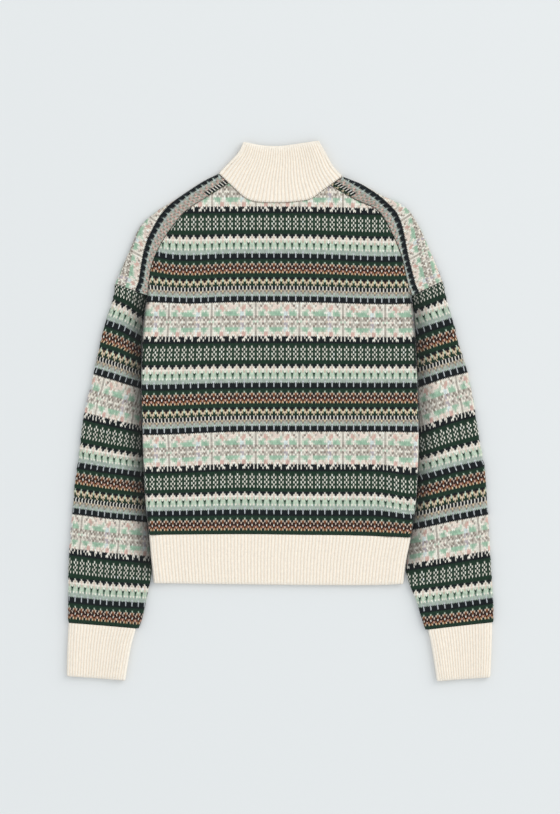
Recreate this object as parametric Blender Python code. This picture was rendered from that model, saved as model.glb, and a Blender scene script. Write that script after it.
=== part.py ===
"""A Fair Isle knit jacket, laid flat on its front: back panel up, sleeves beside the body.

+X runs from left to right as it is seen from above, +Y up to the collar, +Z up. Left and right
are those of this view. Every piece is a wall of cloth. A piece that goes round an edge of the
garment is one sheet with its fold modelled, so the garment is two layers of cloth with a thin
space between them. All tables are in millimetres.
"""
import math

import bpy
import numpy as np

MM = 0.001
TABLE_MIDDLE = (1.0, 2.0, 0.0)  # the garment's middle in the tables; it stands over the origin

# the cloth
WALL = 3.0            # two yarns are carried in each row, so the knit is thick
COLLAR_WALL = 3.6     # the collar's rib is folded over
SEAM = 0.3            # between two pieces that are sewn together
SLEEVE_CLEAR = 0.6    # between a sleeve and the side of the body, below the underarm
FOLD = 4.5            # outside radius of a fold: the garment's edges are twice this thick
COLLAR_FOLD = 5.0
OPEN_STEP = 1.2       # width of an open edge's last stations
BODY_TOP = 7.6        # height of the upper layer's outer face, away from the folds
SLEEVE_TOP = 7.4
BAND_TOP = 7.0        # the same in the valleys of the hem and the cuffs
COLLAR_TOP = 8.4
SWELL = 34.0          # a fold's extra height dies away this far inboard
FADE = 30.0           # a soft fold dies away this close to a folded edge
RIB_RISE = 1.0        # a rib stands this far over the valleys beside it
EDGE_ROUND = 1.4      # a free knitted edge rounds down this far

# the outline, seen from above
UNDERARM = 0.0        # up: the armhole ends and the side seam starts
CLOSING = 14.0        # the side's edge turns from open to folded over this length
CENTRE = 0.5          # across: where the two fronts meet
LEAVES_BODY = -246.0  # up: above this a sleeve lies against the side of body and hem

BODY_SIDE = (  # up, left, right: from the strap's end to the bottom of the hem
    (181, -205, 205), (127, -212, 210), (42, -214, 214), (-50, -212, 216),
    (-136, -208, 212), (-192, -202, 204), (-228, -199, 197), (-265, -195, 192),
)
BACK_STRAP_SEAM = (  # left across, left up, right across, right up: from the neck outwards
    (-79, 355.5, 79, 352.5), (-113, 334, 118, 330), (-146, 312, 153, 313), (-171, 282, 175, 277),
    (-189, 252, 190, 241), (-200, 222, 198, 205), (-205, 181, 205, 181),
)
SHOULDER_FOLD = (  # the same columns
    (-94.5, 370.5, 98, 366), (-121, 357, 128, 354), (-162, 330, 160, 336), (-193, 310, 197, 317),
    (-217, 287, 220, 282), (-235, 246, 234, 250), (-247, 219, 246, 222), (-255, 200, 253, 203),
)
FRONT_STRAP_SEAM = (  # the same columns
    (-60, 309, 61, 309), (-102, 286, 103, 286), (-145, 256, 146, 256), (-181, 224, 182, 222),
    (-205, 181, 205, 181),
)
BACK_NECK = (  # across, up: between the back's ends of the straps
    (-79, 355.5), (-54, 333), (-33, 326), (1, 325), (29, 327), (49, 331), (66, 343), (79, 352.5),
)
FRONT_NECK = ((-60, 309), (-33, 296), (CENTRE, 291), (33, 296), (61, 309))  # across, up
COLLAR_TOP_EDGE = ((-56, 419), (-27, 414), (1, 413), (32, 417), (61, 421))
COLLAR_FRONT_EDGE = ((-56, 419), (-27, 411), (CENTRE, 408), (32, 412), (61, 421))
COLLAR_SIDE = (  # left across, left up, right across, right up: from the neck up
    (-94.5, 370.5, 98, 366), (-78, 388, 83, 382), (-64, 403, 72, 402), (-56, 419, 61, 421),
)
HEM_SEAM = ((-202, -190), (-61, -189), (32, -190), (115, -191), (204, -194))  # across, up
HEM_EDGE = ((-195, -265), (-50, -267), (61, -268), (150, -268), (192, -266))

SLEEVE_OUTER = (  # left across, left up, right across, right up: sleeve head to cuff
    (-255, 200, 253, 203), (-259, 172, 259, 176), (-270, 139, 268, 145), (-281, 95, 279, 102),
    (-292, 45, 289, 72), (-304, -7, 299, 28), (-311, -64, 310, -40), (-317, -110, 319, -95),
    (-322, -160, 323, -150), (-326, -217, 327, -217), (-328, -273, 331, -280),
    (-328, -326, 332, -325),
)
SLEEVE_INNER_END = (  # the same columns: past the hem, where the inner edge swings to the cuff
    (-200, -262, 200, -262), (-204, -279, 205, -276), (-208, -299, 212, -292),
    (-213, -321, 218, -312), (-218, -335, 226, -337),
)
CUFF = (  # up and across at the outer edge, up and across at the inner edge, left then right
    (-326.5, -327, -335.2, -222, -325.7, 330, -337.0, 230),
    (-368, -329, -364, -230, -367, 329, -366, 236),
    (-409, -330, -416, -239, -411, 327, -417, 244),
)

# soft folds of the upper layer: across, up, half length, half width, rise, turn in degrees
BODY_FOLDS = (
    (172, -128, 75, 14, 4.2, 88), (196, -60, 80, 12, 2.0, 86), (-150, 150, 60, 15, 2.2, 160),
    (-120, -20, 75, 16, 2.4, 172), (60, 60, 90, 18, 1.6, 8), (-40, -120, 80, 16, 1.4, 176),
    (-184, 20, 70, 12, 2.2, 92), (120, 205, 60, 16, 1.6, 150),
)
SLEEVE_FOLDS = (
    (-236, 34, 42, 11, 3.4, 62), (-254, -52, 55, 12, 2.2, 72), (-276, -170, 70, 13, 2.0, 84),
    (-246, -262, 45, 12, 2.6, 60), (238, 40, 42, 11, 3.4, 118), (256, -60, 55, 12, 2.2, 108),
    (284, -176, 70, 13, 2.0, 96), (254, -262, 45, 12, 2.6, 118), (-240, 140, 34, 12, 1.8, 40),
    (240, 144, 34, 12, 1.8, 140),
)

# ribs that show on the upper side, and the stations that draw each of them
HEM_RIBS = 75
CUFF_RIBS = 20
COLLAR_RIBS = 35
RIB_SHAPE = (0.0, 1.0)  # a valley and the rib's crest

COLOURS = {  # red, green, blue of the cloth as seen from far off, and its roughness
    "back": (0.16, 0.21, 0.18, 0.90),
    "front_left": (0.17, 0.22, 0.19, 0.90),
    "front_right": (0.18, 0.22, 0.19, 0.90),
    "shoulder_strap_left": (0.52, 0.56, 0.47, 0.90),
    "shoulder_strap_right": (0.53, 0.56, 0.48, 0.90),
    "sleeve_left": (0.21, 0.27, 0.23, 0.90),
    "sleeve_right": (0.21, 0.27, 0.24, 0.90),
    "cuff_left": (0.87, 0.81, 0.70, 0.92),
    "cuff_right": (0.88, 0.81, 0.70, 0.92),
    "hem_rib": (0.87, 0.82, 0.71, 0.92),
    "collar": (0.88, 0.82, 0.72, 0.92),
}


# ---- lines seen from above ----

def smooth(points, steps=12):
    """A smooth line through the points."""
    p = np.array(points, float)
    p = np.vstack([2 * p[0] - p[1], p, 2 * p[-1] - p[-2]])
    line = []
    for a, b, c, d in zip(p[:-3], p[1:-2], p[2:-1], p[3:]):
        for t in np.arange(steps) / steps:
            bend = (2 * a - 5 * b + 4 * c - d) * t + (3 * b - a - 3 * c + d) * t * t
            line.append(b + 0.5 * t * ((c - a) + bend))
    line.append(p[-2])
    return np.array(line)


def along(line, shares):
    """Points of a line at shares of its length."""
    run = np.concatenate([[0], np.cumsum(np.linalg.norm(np.diff(line, axis=0), axis=1))])
    at = np.asarray(shares) * run[-1]
    return np.column_stack([np.interp(at, run, line[:, i]) for i in (0, 1)])


def moved(line, towards, gap):
    """The line moved sideways by a gap, to the side on which a point lies."""
    step = np.gradient(line, axis=0)
    step /= np.linalg.norm(step, axis=1)[:, None]
    normal = np.column_stack([-step[:, 1], step[:, 0]])
    middle = len(line) // 2
    side = np.sign(np.dot(np.array(towards) - line[middle], normal[middle]))
    return line + side * gap * normal


def column_pair(table, side):
    """A table's across and up columns of one side: 0 is left, 1 is right."""
    return [(row[2 * side], row[2 * side + 1]) for row in table]


def body_side(side):
    """The side of body and hem, from the bottom of the hem up."""
    return smooth([(row[1 + side], row[0]) for row in BODY_SIDE])[::-1]


def between(line, low, high, count):
    """Points of a line that runs up the garment, at even heights."""
    up = np.linspace(low, high, count)
    return np.column_stack([np.interp(up, line[:, 1], line[:, 0]), up])


def patch(bottom, top, left, right):
    """A grid of points that fills four edges. bottom and top run from left to right."""
    u = np.linspace(0, 1, len(bottom))[None, :, None]
    v = np.linspace(0, 1, len(left))[:, None, None]
    ruled = (1 - v) * bottom[None] + v * top[None] + (1 - u) * left[:, None] + u * right[:, None]
    corners = ((1 - u) * (1 - v) * bottom[0] + u * (1 - v) * bottom[-1]
               + (1 - u) * v * top[0] + u * v * top[-1])
    return ruled - corners


def ease(t):
    t = np.clip(t, 0, 1)
    return t * t * (3 - 2 * t)


def closed(up):
    """0 where the body is open to the sleeve, 1 where its side is folded and seamed."""
    return ease((UNDERARM + CLOSING / 2 - up) / CLOSING)


def lift(points, folds):
    """How far soft folds lift the upper layer."""
    total = np.zeros(points.shape[:-1])
    for across, up, long, wide, rise, turn in folds:
        angle = math.radians(turn)
        dx = points[..., 0] - across
        dy = points[..., 1] - up
        lengthwise = (dx * math.cos(angle) + dy * math.sin(angle)) / long
        crosswise = (dy * math.cos(angle) - dx * math.sin(angle)) / wide
        total += rise * np.exp(-lengthwise ** 2 - crosswise ** 2)
    return total


# ---- stretches of a sheet: each gives its outer and its inner points ----

def units(vectors):
    return vectors / np.linalg.norm(vectors, axis=-1)[..., None]


def flat(plan, outer_up, inner_up):
    """A stretch that lies flat, upper or lower."""
    outer = np.dstack([plan, np.broadcast_to(outer_up, plan.shape[:2])])
    inner = np.dstack([plan, np.broadcast_to(inner_up, plan.shape[:2])])
    return outer, inner


def fold_step(fold, shut):
    """How far inboard of its outline a side's turn starts, for each row."""
    return (fold * shut + OPEN_STEP * (1 - shut))[:, None]


def turn_in(edge, inward, upper, level, shut, fold, wall):
    """A side edge of one layer, from its seam inwards.

    Where shut is 1 it turns a quarter round to its seam at mid height, and where shut is 0 it
    ends flat, as at an armhole. level is the height of the layer's outer face beside it.
    """
    half = SEAM / 2
    sign = 1 if upper else -1
    face = level if upper else np.zeros(len(edge))
    outer, inner = [], []
    for angle in (90, 60, 30):
        a = math.radians(angle)
        out_up = fold + sign * max(fold * math.cos(a), half)
        in_up = fold + sign * max((fold - wall) * math.cos(a), half)
        bent_out = np.column_stack([edge + inward * fold * (1 - math.sin(a)),
                                    np.full(len(edge), out_up)])
        bent_in = np.column_stack([edge + inward * (fold - (fold - wall) * math.sin(a)),
                                   np.full(len(edge), in_up)])
        plan = edge + inward * OPEN_STEP * (1 - angle / 90)
        flat_out = np.column_stack([plan, face])
        flat_in = np.column_stack([plan, face - sign * wall])
        mix = shut[:, None]
        outer.append(flat_out + (bent_out - flat_out) * mix)
        inner.append(flat_in + (bent_in - flat_in) * mix)
    return np.stack(outer, axis=1), np.stack(inner, axis=1)


def fold_round(edge, inward, fold, wall, steps=4):
    """A folded edge, from the upper layer round to the lower."""
    outer, inner = [], []
    for a in np.linspace(math.pi / 2, -math.pi / 2, steps + 1)[1:-1]:
        for radius, found in ((fold, outer), (fold - wall, inner)):
            plan = edge + inward * (fold - radius * math.cos(a))
            found.append(np.column_stack([plan, np.full(len(edge), fold + radius * math.sin(a))]))
    return np.stack(outer, axis=1), np.stack(inner, axis=1)


def turned(stretch):
    """The same stretch, its columns in the other order."""
    return tuple(grid[:, ::-1] for grid in stretch)


def joined(*stretches):
    """One sheet from stretches side by side."""
    return tuple(np.concatenate(grids, axis=1) for grids in zip(*stretches))


def upper_height(plan, level, folds, edges, fold):
    """Height of an upper layer's outer face.

    edges are (outline points, shut) for each side with a fold: the layer swells up to it, and
    its soft folds die away there.
    """
    up = np.full(plan.shape[:2], level)
    fade = np.ones(plan.shape[:2])
    for outline, shut in edges:
        inboard = np.linalg.norm(plan - outline[:, None], axis=2) - fold
        up += (2 * fold - level) * ease(1 - inboard / SWELL) * shut[:, None]
        fade *= 1 - (1 - ease(inboard / FADE)) * shut[:, None]
    return up + lift(plan, folds) * fade


def ribbed(up, ribs, rise):
    """Heights of a stretch with its ribs raised. rise has a share for each row."""
    shape = np.array(RIB_SHAPE * ribs + (RIB_SHAPE[0],))
    return up + RIB_RISE * shape[None, :] * np.asarray(rise)[:, None]


def rib_shares(ribs):
    return np.linspace(0, 1, len(RIB_SHAPE) * ribs + 1)


def rounded(up, row, amount):
    """Heights with one row let down, as a free edge rounds."""
    up = up.copy()
    up[row] -= amount
    return up


# ---- solids ----

def clear_scene():
    for item in list(bpy.data.objects):
        bpy.data.objects.remove(item, do_unlink=True)


def knit_material(name):
    red, green, blue, rough = COLOURS[name]
    cloth = bpy.data.materials.new(name + "_knit")
    cloth.use_nodes = True
    shader = cloth.node_tree.nodes["Principled BSDF"]
    shader.inputs["Base Color"].default_value = (red, green, blue, 1.0)
    shader.inputs["Roughness"].default_value = rough
    shader.inputs["Metallic"].default_value = 0.0
    return cloth


def signed_volume(mesh):
    mesh.calc_loop_triangles()
    total = 0.0
    for triangle in mesh.loop_triangles:
        a, b, c = (mesh.vertices[k].co for k in triangle.vertices)
        total += a.dot(b.cross(c)) / 6
    return total


def cloth_solid(name, sheet):
    """One closed wall from a sheet's outer and inner points."""
    outer, inner = sheet
    rows, cols = outer.shape[:2]
    count = rows * cols
    points = np.concatenate([outer.reshape(-1, 3), inner.reshape(-1, 3)])
    places = (points - TABLE_MIDDLE) * MM
    grid = np.arange(count).reshape(rows, cols)
    faces = []
    for i in range(rows - 1):
        for j in range(cols - 1):
            a, b, c, d = grid[i, j], grid[i, j + 1], grid[i + 1, j + 1], grid[i + 1, j]
            faces += [(a, b, c, d), (d + count, c + count, b + count, a + count)]
    rim = [*grid[0], *grid[1:, -1], *grid[-1, -2::-1], *grid[-2:0:-1, 0]]
    for a, b in zip(rim, rim[1:] + rim[:1]):
        faces.append((b, a, a + count, b + count))
    mesh = bpy.data.meshes.new(name)
    mesh.from_pydata(places.tolist(), [], [tuple(int(k) for k in face) for face in faces])
    if signed_volume(mesh) < 0:
        mesh.flip_normals()
    mesh.shade_smooth()
    mesh.set_sharp_from_angle(angle=math.radians(50))
    mesh.materials.append(knit_material(name))
    bpy.context.scene.collection.objects.link(bpy.data.objects.new(name, mesh))
    print(name, len(mesh.loop_triangles), "triangles")


# ---- the pieces ----

STRAP_STATIONS = 10   # along a strap's seams, shared by the panels on both sides of them
NECK_STATIONS = 9
FRONT_NECK_STATIONS = 5
PANEL_ROWS = 24
FRONT_ROWS = 13
SLEEVE_ROWS = 25
BAND_ROWS = 4
COLLAR_ROWS = 6
BACK_MIDDLE = (0.0, 0.0)      # a point inside the body, for telling the sides of its outline
COLLAR_MIDDLE = (0.0, 380.0)


def strap_seam(table, side):
    return along(smooth(column_pair(table, side)), np.linspace(0, 1, STRAP_STATIONS))


def neck_line():
    return along(smooth(BACK_NECK), np.linspace(0, 1, NECK_STATIONS))


def front_neck_half(side):
    """The front neck from a strap's end to the centre front."""
    points = FRONT_NECK[:3] if side == 0 else FRONT_NECK[:1:-1]
    return along(smooth(points), np.linspace(0, 1, FRONT_NECK_STATIONS))


def panel_side(side, rows):
    """The outline of a body panel's side, from the hem's seam to the strap's end."""
    low = HEM_SEAM[-side][1] + SEAM / 2
    line = between(body_side(side), low, BODY_SIDE[0][0], rows)
    return line + [(SEAM / 2) * (1 - 2 * side), 0]


def make_back():
    seams = [strap_seam(BACK_STRAP_SEAM, side) for side in (0, 1)]
    neck = neck_line()
    head = np.vstack([moved(seams[0], BACK_MIDDLE, SEAM / 2)[::-1],
                      moved(neck, BACK_MIDDLE, SEAM / 2)[1:-1],
                      moved(seams[1], BACK_MIDDLE, SEAM / 2)])
    sides = [panel_side(side, PANEL_ROWS) for side in (0, 1)]
    inward, shut = [], []
    for side in (0, 1):
        inward.append(units(sides[1 - side] - sides[side]))
        shut.append(closed(sides[side][:, 1]))
    starts = [sides[k] + inward[k] * fold_step(FOLD, shut[k]) for k in (0, 1)]
    head[0], head[-1] = starts[0][-1], starts[1][-1]
    seam = moved(smooth(HEM_SEAM), BACK_MIDDLE, SEAM / 2)
    foot_shares = np.linspace(0, 1, len(head))
    foot_across = starts[0][0, 0] + (starts[1][0, 0] - starts[0][0, 0]) * foot_shares
    foot = np.column_stack([foot_across, np.interp(foot_across, seam[:, 0], seam[:, 1])])
    starts[0][0], starts[1][0] = foot[0], foot[-1]
    plan = patch(foot, head, starts[0], starts[1])
    up = upper_height(plan, BODY_TOP, BODY_FOLDS, list(zip(sides, shut)), FOLD)
    left = turn_in(sides[0], inward[0], True, up[:, 0], shut[0], FOLD, WALL)
    right = turn_in(sides[1], inward[1], True, up[:, -1], shut[1], FOLD, WALL)
    return joined(left, flat(plan, up, up - WALL), turned(right))


def make_front(side):
    """One front. It lies under the back, its outer face down."""
    sign = 1 - 2 * side
    seam = moved(strap_seam(FRONT_STRAP_SEAM, side), BACK_MIDDLE, SEAM / 2)
    neck = moved(front_neck_half(side), BACK_MIDDLE, SEAM / 2)
    outline = panel_side(side, FRONT_ROWS)
    inward = np.tile([float(sign), 0.0], (FRONT_ROWS, 1))
    shut = closed(outline[:, 1])
    start = outline + inward * fold_step(FOLD, shut)
    head = np.vstack([seam[::-1], neck[1:]])
    head[0] = start[-1]
    centre = CENTRE - sign * SEAM / 2
    head[-1, 0] = centre
    hem = moved(smooth(HEM_SEAM), BACK_MIDDLE, SEAM / 2)
    foot_across = np.linspace(start[0, 0], centre, len(head))
    foot = np.column_stack([foot_across, np.interp(foot_across, hem[:, 0], hem[:, 1])])
    start[0] = foot[0]
    middle = np.column_stack([np.full(FRONT_ROWS, centre),
                              np.linspace(foot[-1, 1], head[-1, 1], FRONT_ROWS)])
    plan = patch(foot, head, start, middle)
    edge = turn_in(outline, inward, False, None, shut, FOLD, WALL)
    return joined(edge, flat(plan, 0.0, WALL))


def make_strap(side):
    """A strap, from its seam with the back over the shoulder's fold to its seam with the front."""
    back = moved(strap_seam(BACK_STRAP_SEAM, side), BACK_MIDDLE, -SEAM / 2)
    front = moved(strap_seam(FRONT_STRAP_SEAM, side), BACK_MIDDLE, -SEAM / 2)
    edge = strap_seam(SHOULDER_FOLD, side)
    step = units(np.gradient(edge, axis=0))
    inward = np.column_stack([step[:, 1], -step[:, 0]]) * (1 if side else -1)
    start = edge + inward * FOLD
    for line in (back, front, edge, start):
        line[0] += (line[1] - line[0]) * SEAM / np.linalg.norm(line[1] - line[0])
    across = np.linspace(0, 1, 5)[None, :, None]
    upper = back[:, None] + (start - back)[:, None] * across
    shut = np.ones(STRAP_STATIONS)
    up = upper_height(upper, BODY_TOP, (), [(edge, shut)], FOLD)
    lower = start[:, None] + (front - start)[:, None] * across
    return joined(flat(upper, up, up - WALL), fold_round(edge, inward, FOLD, WALL),
                  flat(lower, 0.0, WALL))


def sleeve_inner(side):
    """A sleeve's edge beside the body, from the sleeve's head to the cuff."""
    outwards = 2 * side - 1
    line = body_side(side)[::-1]
    beside = line[line[:, 1] > LEAVES_BODY] + [outwards * SLEEVE_CLEAR, 0]
    rest = smooth([tuple(beside[-1])] + column_pair(SLEEVE_INNER_END, side))
    return np.vstack([beside, rest[1:]])


def make_sleeve(side):
    shares = np.linspace(0, 1, SLEEVE_ROWS)
    shares[0] = 2 * SEAM / 530  # clear of the strap's end
    edge = along(smooth(column_pair(SLEEVE_OUTER, side)), shares)
    inner = along(sleeve_inner(side), shares)
    outward = units(edge - inner)
    shut = closed(inner[:, 1])
    start = inner + outward * fold_step(FOLD, shut)
    end = edge - outward * FOLD
    across = (np.arange(7) / 6)[None, :, None]
    upper = start[:, None] + (end - start)[:, None] * across
    ones = np.ones(SLEEVE_ROWS)
    up = upper_height(upper, SLEEVE_TOP, SLEEVE_FOLDS, [(edge, ones), (inner, shut)], FOLD)
    lower = end[:, None] + (start - end)[:, None] * across[:, ::2]
    top_edge = turn_in(inner, outward, True, up[:, 0], shut, FOLD, WALL)
    low_edge = turn_in(inner, outward, False, None, shut, FOLD, WALL)
    return joined(top_edge, flat(upper, up, up - WALL), fold_round(edge, -outward, FOLD, WALL),
                  flat(lower, 0.0, WALL), turned(low_edge))


def make_cuff(side):
    rows = [row[4 * side:4 * side + 4] for row in CUFF]
    shares = np.linspace(0, 1, BAND_ROWS)
    edge = along(smooth([(row[1], row[0]) for row in rows]), shares)
    inner = along(smooth([(row[3], row[2]) for row in rows]), shares)
    outward = units(edge - inner)
    ones = np.ones(BAND_ROWS)
    start = inner + outward * FOLD
    end = edge - outward * FOLD
    across = rib_shares(CUFF_RIBS)[None, :, None]
    upper = start[:, None] + (end - start)[:, None] * across
    level = upper_height(upper, BAND_TOP, (), [(edge, ones), (inner, ones)], FOLD)
    rise = [1, 1, 1, 0.4]
    up = rounded(ribbed(level, CUFF_RIBS, rise), -1, EDGE_ROUND)
    lower = end[:, None] + (start - end)[:, None] * np.linspace(0, 1, 5)[None, :, None]
    top_edge = turn_in(inner, outward, True, up[:, 0], ones, FOLD, WALL)
    low_edge = turn_in(inner, outward, False, None, ones, FOLD, WALL)
    return joined(top_edge, flat(upper, up, level - WALL), fold_round(edge, -outward, FOLD, WALL),
                  flat(lower, 0.0, WALL), turned(low_edge))


def hem_half(side, edge, inward):
    """The hem's lower layer on one side, from the centre front to the fold."""
    centre = CENTRE - (1 - 2 * side) * SEAM / 2
    start = edge + inward * FOLD
    lower = np.linspace(0, 1, 7)[None, :, None]
    centre_line = np.column_stack([np.full(len(edge), centre), edge[:, 1]])
    lines = [moved(smooth(table), BACK_MIDDLE, gap)
             for table, gap in ((HEM_SEAM, -SEAM / 2), (HEM_EDGE, 0.0))]
    ups = [np.interp(centre, line[:, 0], line[:, 1]) for line in lines]
    centre_line[:, 1] = np.linspace(ups[0], ups[1], len(edge))
    return centre_line[:, None] + (start - centre_line)[:, None] * lower


def make_hem():
    """The hem's band, from one front edge round to the other."""
    seam = moved(smooth(HEM_SEAM), BACK_MIDDLE, -SEAM / 2)
    bottom = smooth(HEM_EDGE)
    edges, inward = [], []
    for side in (0, 1):
        line = body_side(side)
        edges.append(between(line, seam[-side, 1], HEM_EDGE[-side][1], BAND_ROWS))
        inward.append(np.tile([1.0 - 2 * side, 0.0], (BAND_ROWS, 1)))
    starts = [edges[k] + inward[k] * FOLD for k in (0, 1)]
    across = rib_shares(HEM_RIBS)
    head, foot = (np.column_stack([starts[0][k, 0] + (starts[1][k, 0] - starts[0][k, 0]) * across,
                                   np.zeros(len(across))]) for k in (0, -1))
    head[:, 1] = np.interp(head[:, 0], seam[:, 0], seam[:, 1])
    foot[:, 1] = np.interp(foot[:, 0], bottom[:, 0], bottom[:, 1])
    for side in (0, 1):
        starts[side][0, 1], starts[side][-1, 1] = head[-side, 1], foot[-side, 1]
        edges[side][:, 1] = starts[side][:, 1]
    upper = patch(head, foot, starts[0], starts[1])
    ones = np.ones(BAND_ROWS)
    level = upper_height(upper, BAND_TOP, (), [(edges[0], ones), (edges[1], ones)], FOLD)
    up = rounded(ribbed(level, HEM_RIBS, [1, 1, 1, 0.4]), -1, EDGE_ROUND)
    low_left, low_right = (hem_half(side, edges[side], inward[side]) for side in (0, 1))
    return joined(flat(low_left, 0.0, WALL),
                  turned(fold_round(edges[0], inward[0], FOLD, WALL)),
                  flat(upper, up, level - WALL),
                  fold_round(edges[1], inward[1], FOLD, WALL),
                  flat(low_right[:, ::-1], 0.0, WALL))


def collar_half(side, start):
    """The collar's lower layer on one side, from the centre front to the fold."""
    centre = CENTRE - (1 - 2 * side) * SEAM / 2
    corner = column_pair(COLLAR_SIDE, side)[0]
    base = np.vstack([[corner], front_neck_half(side)])[::-1]
    base = moved(base, COLLAR_MIDDLE, SEAM / 2)
    count = 10
    base = along(base, np.linspace(0, 1, count))
    base[0, 0], base[-1] = centre, start[0]
    points = COLLAR_FRONT_EDGE[2::-1] if side == 0 else COLLAR_FRONT_EDGE[2:]
    edge = along(smooth(points), np.linspace(0, 1, count))
    edge[0, 0], edge[-1] = centre, start[-1]
    middle = np.column_stack([np.full(COLLAR_ROWS, centre),
                              np.linspace(base[0, 1], edge[0, 1], COLLAR_ROWS)])
    return patch(base, edge, middle, start)


def make_collar():
    """The collar, from one front edge round the back to the other."""
    shares = np.linspace(0, 1, COLLAR_ROWS)
    edges, inward, starts = [], [], []
    for side in (0, 1):
        edge = along(smooth(column_pair(COLLAR_SIDE, side)), shares)
        step = units(np.gradient(edge, axis=0))
        normal = np.column_stack([step[:, 1], -step[:, 0]]) * (1 - 2 * side)
        edge[0] += step[0] * SEAM
        edges.append(edge)
        inward.append(normal)
        starts.append(edge + normal * COLLAR_FOLD)
    across = rib_shares(COLLAR_RIBS)
    corners = [column_pair(COLLAR_SIDE, side)[0] for side in (0, 1)]
    base = np.vstack([[corners[0]], neck_line(), [corners[1]]])
    base = along(moved(base, COLLAR_MIDDLE, SEAM / 2), across)
    edge = along(smooth(COLLAR_TOP_EDGE), across)
    base[0], base[-1] = starts[0][0], starts[1][0]
    edge[0], edge[-1] = starts[0][-1], starts[1][-1]
    upper = patch(base, edge, starts[0], starts[1])
    ones = np.ones(COLLAR_ROWS)
    level = upper_height(upper, COLLAR_TOP, (), [(edges[0], ones), (edges[1], ones)], COLLAR_FOLD)
    up = ribbed(level, COLLAR_RIBS, [1, 1, 1, 1, 0.9, 0.2])
    up = rounded(up, -1, EDGE_ROUND)
    lowers = [collar_half(side, starts[side]) for side in (0, 1)]
    return joined(flat(lowers[0], 0.0, COLLAR_WALL),
                  turned(fold_round(edges[0], inward[0], COLLAR_FOLD, COLLAR_WALL)),
                  flat(upper, up, level - COLLAR_WALL),
                  fold_round(edges[1], inward[1], COLLAR_FOLD, COLLAR_WALL),
                  flat(lowers[1][:, ::-1], 0.0, COLLAR_WALL))


clear_scene()
cloth_solid("back", make_back())
for number, hand in enumerate(("left", "right")):
    cloth_solid("front_" + hand, make_front(number))
    cloth_solid("shoulder_strap_" + hand, make_strap(number))
    cloth_solid("sleeve_" + hand, make_sleeve(number))
    cloth_solid("cuff_" + hand, make_cuff(number))
cloth_solid("hem_rib", make_hem())
cloth_solid("collar", make_collar())
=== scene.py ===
# %% [markdown]
# # A Fair Isle knit jacket, laid flat with its back up
#
# The real jacket is a chunky stranded knit: eleven pieces of cloth, cream ribs at neck, wrists
# and hem, and bands of small coloured stitches in between. The imported model already holds the
# eleven walls of cloth. This file loads it as a fixed frame and dresses each wall in real
# stitches. Looks come from geometry wherever a stitch can be seen, and from bump for the twist
# and fibres of the yarn, which are finer than a mesh should be.
# Some shade is painted into the stitch colours too: in the yarn's gaps, in the ribs' valleys, on
# the inside, at the armholes and on the sleeves beside the body.

# %% Load the fixed frame
import math

import bpy
import numpy as np
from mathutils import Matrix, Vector
from mathutils.geometry import delaunay_2d_cdt


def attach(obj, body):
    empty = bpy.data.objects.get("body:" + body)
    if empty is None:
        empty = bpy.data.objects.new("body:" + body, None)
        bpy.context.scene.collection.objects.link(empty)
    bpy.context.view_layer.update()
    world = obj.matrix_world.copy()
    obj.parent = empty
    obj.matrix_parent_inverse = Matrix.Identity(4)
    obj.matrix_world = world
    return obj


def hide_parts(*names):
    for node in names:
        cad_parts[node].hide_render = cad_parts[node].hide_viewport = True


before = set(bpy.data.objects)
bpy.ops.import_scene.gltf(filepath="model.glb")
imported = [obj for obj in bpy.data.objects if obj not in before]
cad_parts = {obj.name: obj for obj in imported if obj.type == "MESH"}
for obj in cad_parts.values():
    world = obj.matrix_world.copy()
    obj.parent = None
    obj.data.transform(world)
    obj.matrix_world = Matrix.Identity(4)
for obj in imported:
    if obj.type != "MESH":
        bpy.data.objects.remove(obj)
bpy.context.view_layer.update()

# %% [markdown]
# ## The cut of the pieces
#
# A garment maker starts from a pattern, so this file does too. The lines below are the seams and
# edges of the laid jacket, in millimetres, seen from above: across is to the right and up is
# towards the collar. They are the same named values that the solids were made from, so the
# knitted pieces land on them with no fitting. Smooth curves run through the listed points.

# %% Sizes of the cloth, in millimetres
MM = 0.001
TABLE_MIDDLE = (1.0, 2.0, 0.0)  # the garment's middle in the tables; it lies over the origin
WALL = 3.0
COLLAR_WALL = 3.6
SEAM = 0.3
SLEEVE_CLEAR = 0.6
FOLD = 4.5
COLLAR_FOLD = 5.0
BODY_TOP = 7.6
SLEEVE_TOP = 7.4
BAND_TOP = 7.0
COLLAR_TOP = 8.4
SWELL = 34.0
FADE = 30.0
UNDERARM = 0.0
CLOSING = 14.0
CENTRE = 0.5
LEAVES_BODY = -246.0

# %% The outline, seen from above
BODY_SIDE = (  # up, left, right: from the strap's end to the bottom of the hem
    (181, -205, 205), (127, -212, 210), (42, -214, 214), (-50, -212, 216),
    (-136, -208, 212), (-192, -202, 204), (-228, -199, 197), (-265, -195, 192),
)
BACK_STRAP_SEAM = (  # left across, left up, right across, right up: from the neck outwards
    (-79, 355.5, 79, 352.5), (-113, 334, 118, 330), (-146, 312, 153, 313), (-171, 282, 175, 277),
    (-189, 252, 190, 241), (-200, 222, 198, 205), (-205, 181, 205, 181),
)
SHOULDER_FOLD = (  # the same columns
    (-94.5, 370.5, 98, 366), (-121, 357, 128, 354), (-162, 330, 160, 336), (-193, 310, 197, 317),
    (-217, 287, 220, 282), (-235, 246, 234, 250), (-247, 219, 246, 222), (-255, 200, 253, 203),
)
FRONT_STRAP_SEAM = (  # the same columns
    (-60, 309, 61, 309), (-102, 286, 103, 286), (-145, 256, 146, 256), (-181, 224, 182, 222),
    (-205, 181, 205, 181),
)
BACK_NECK = (  # across, up: between the back's ends of the straps
    (-79, 355.5), (-54, 333), (-33, 326), (1, 325), (29, 327), (49, 331), (66, 343), (79, 352.5),
)
FRONT_NECK = ((-60, 309), (-33, 296), (CENTRE, 291), (33, 296), (61, 309))
COLLAR_TOP_EDGE = ((-56, 419), (-27, 414), (1, 413), (32, 417), (61, 421))
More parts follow.
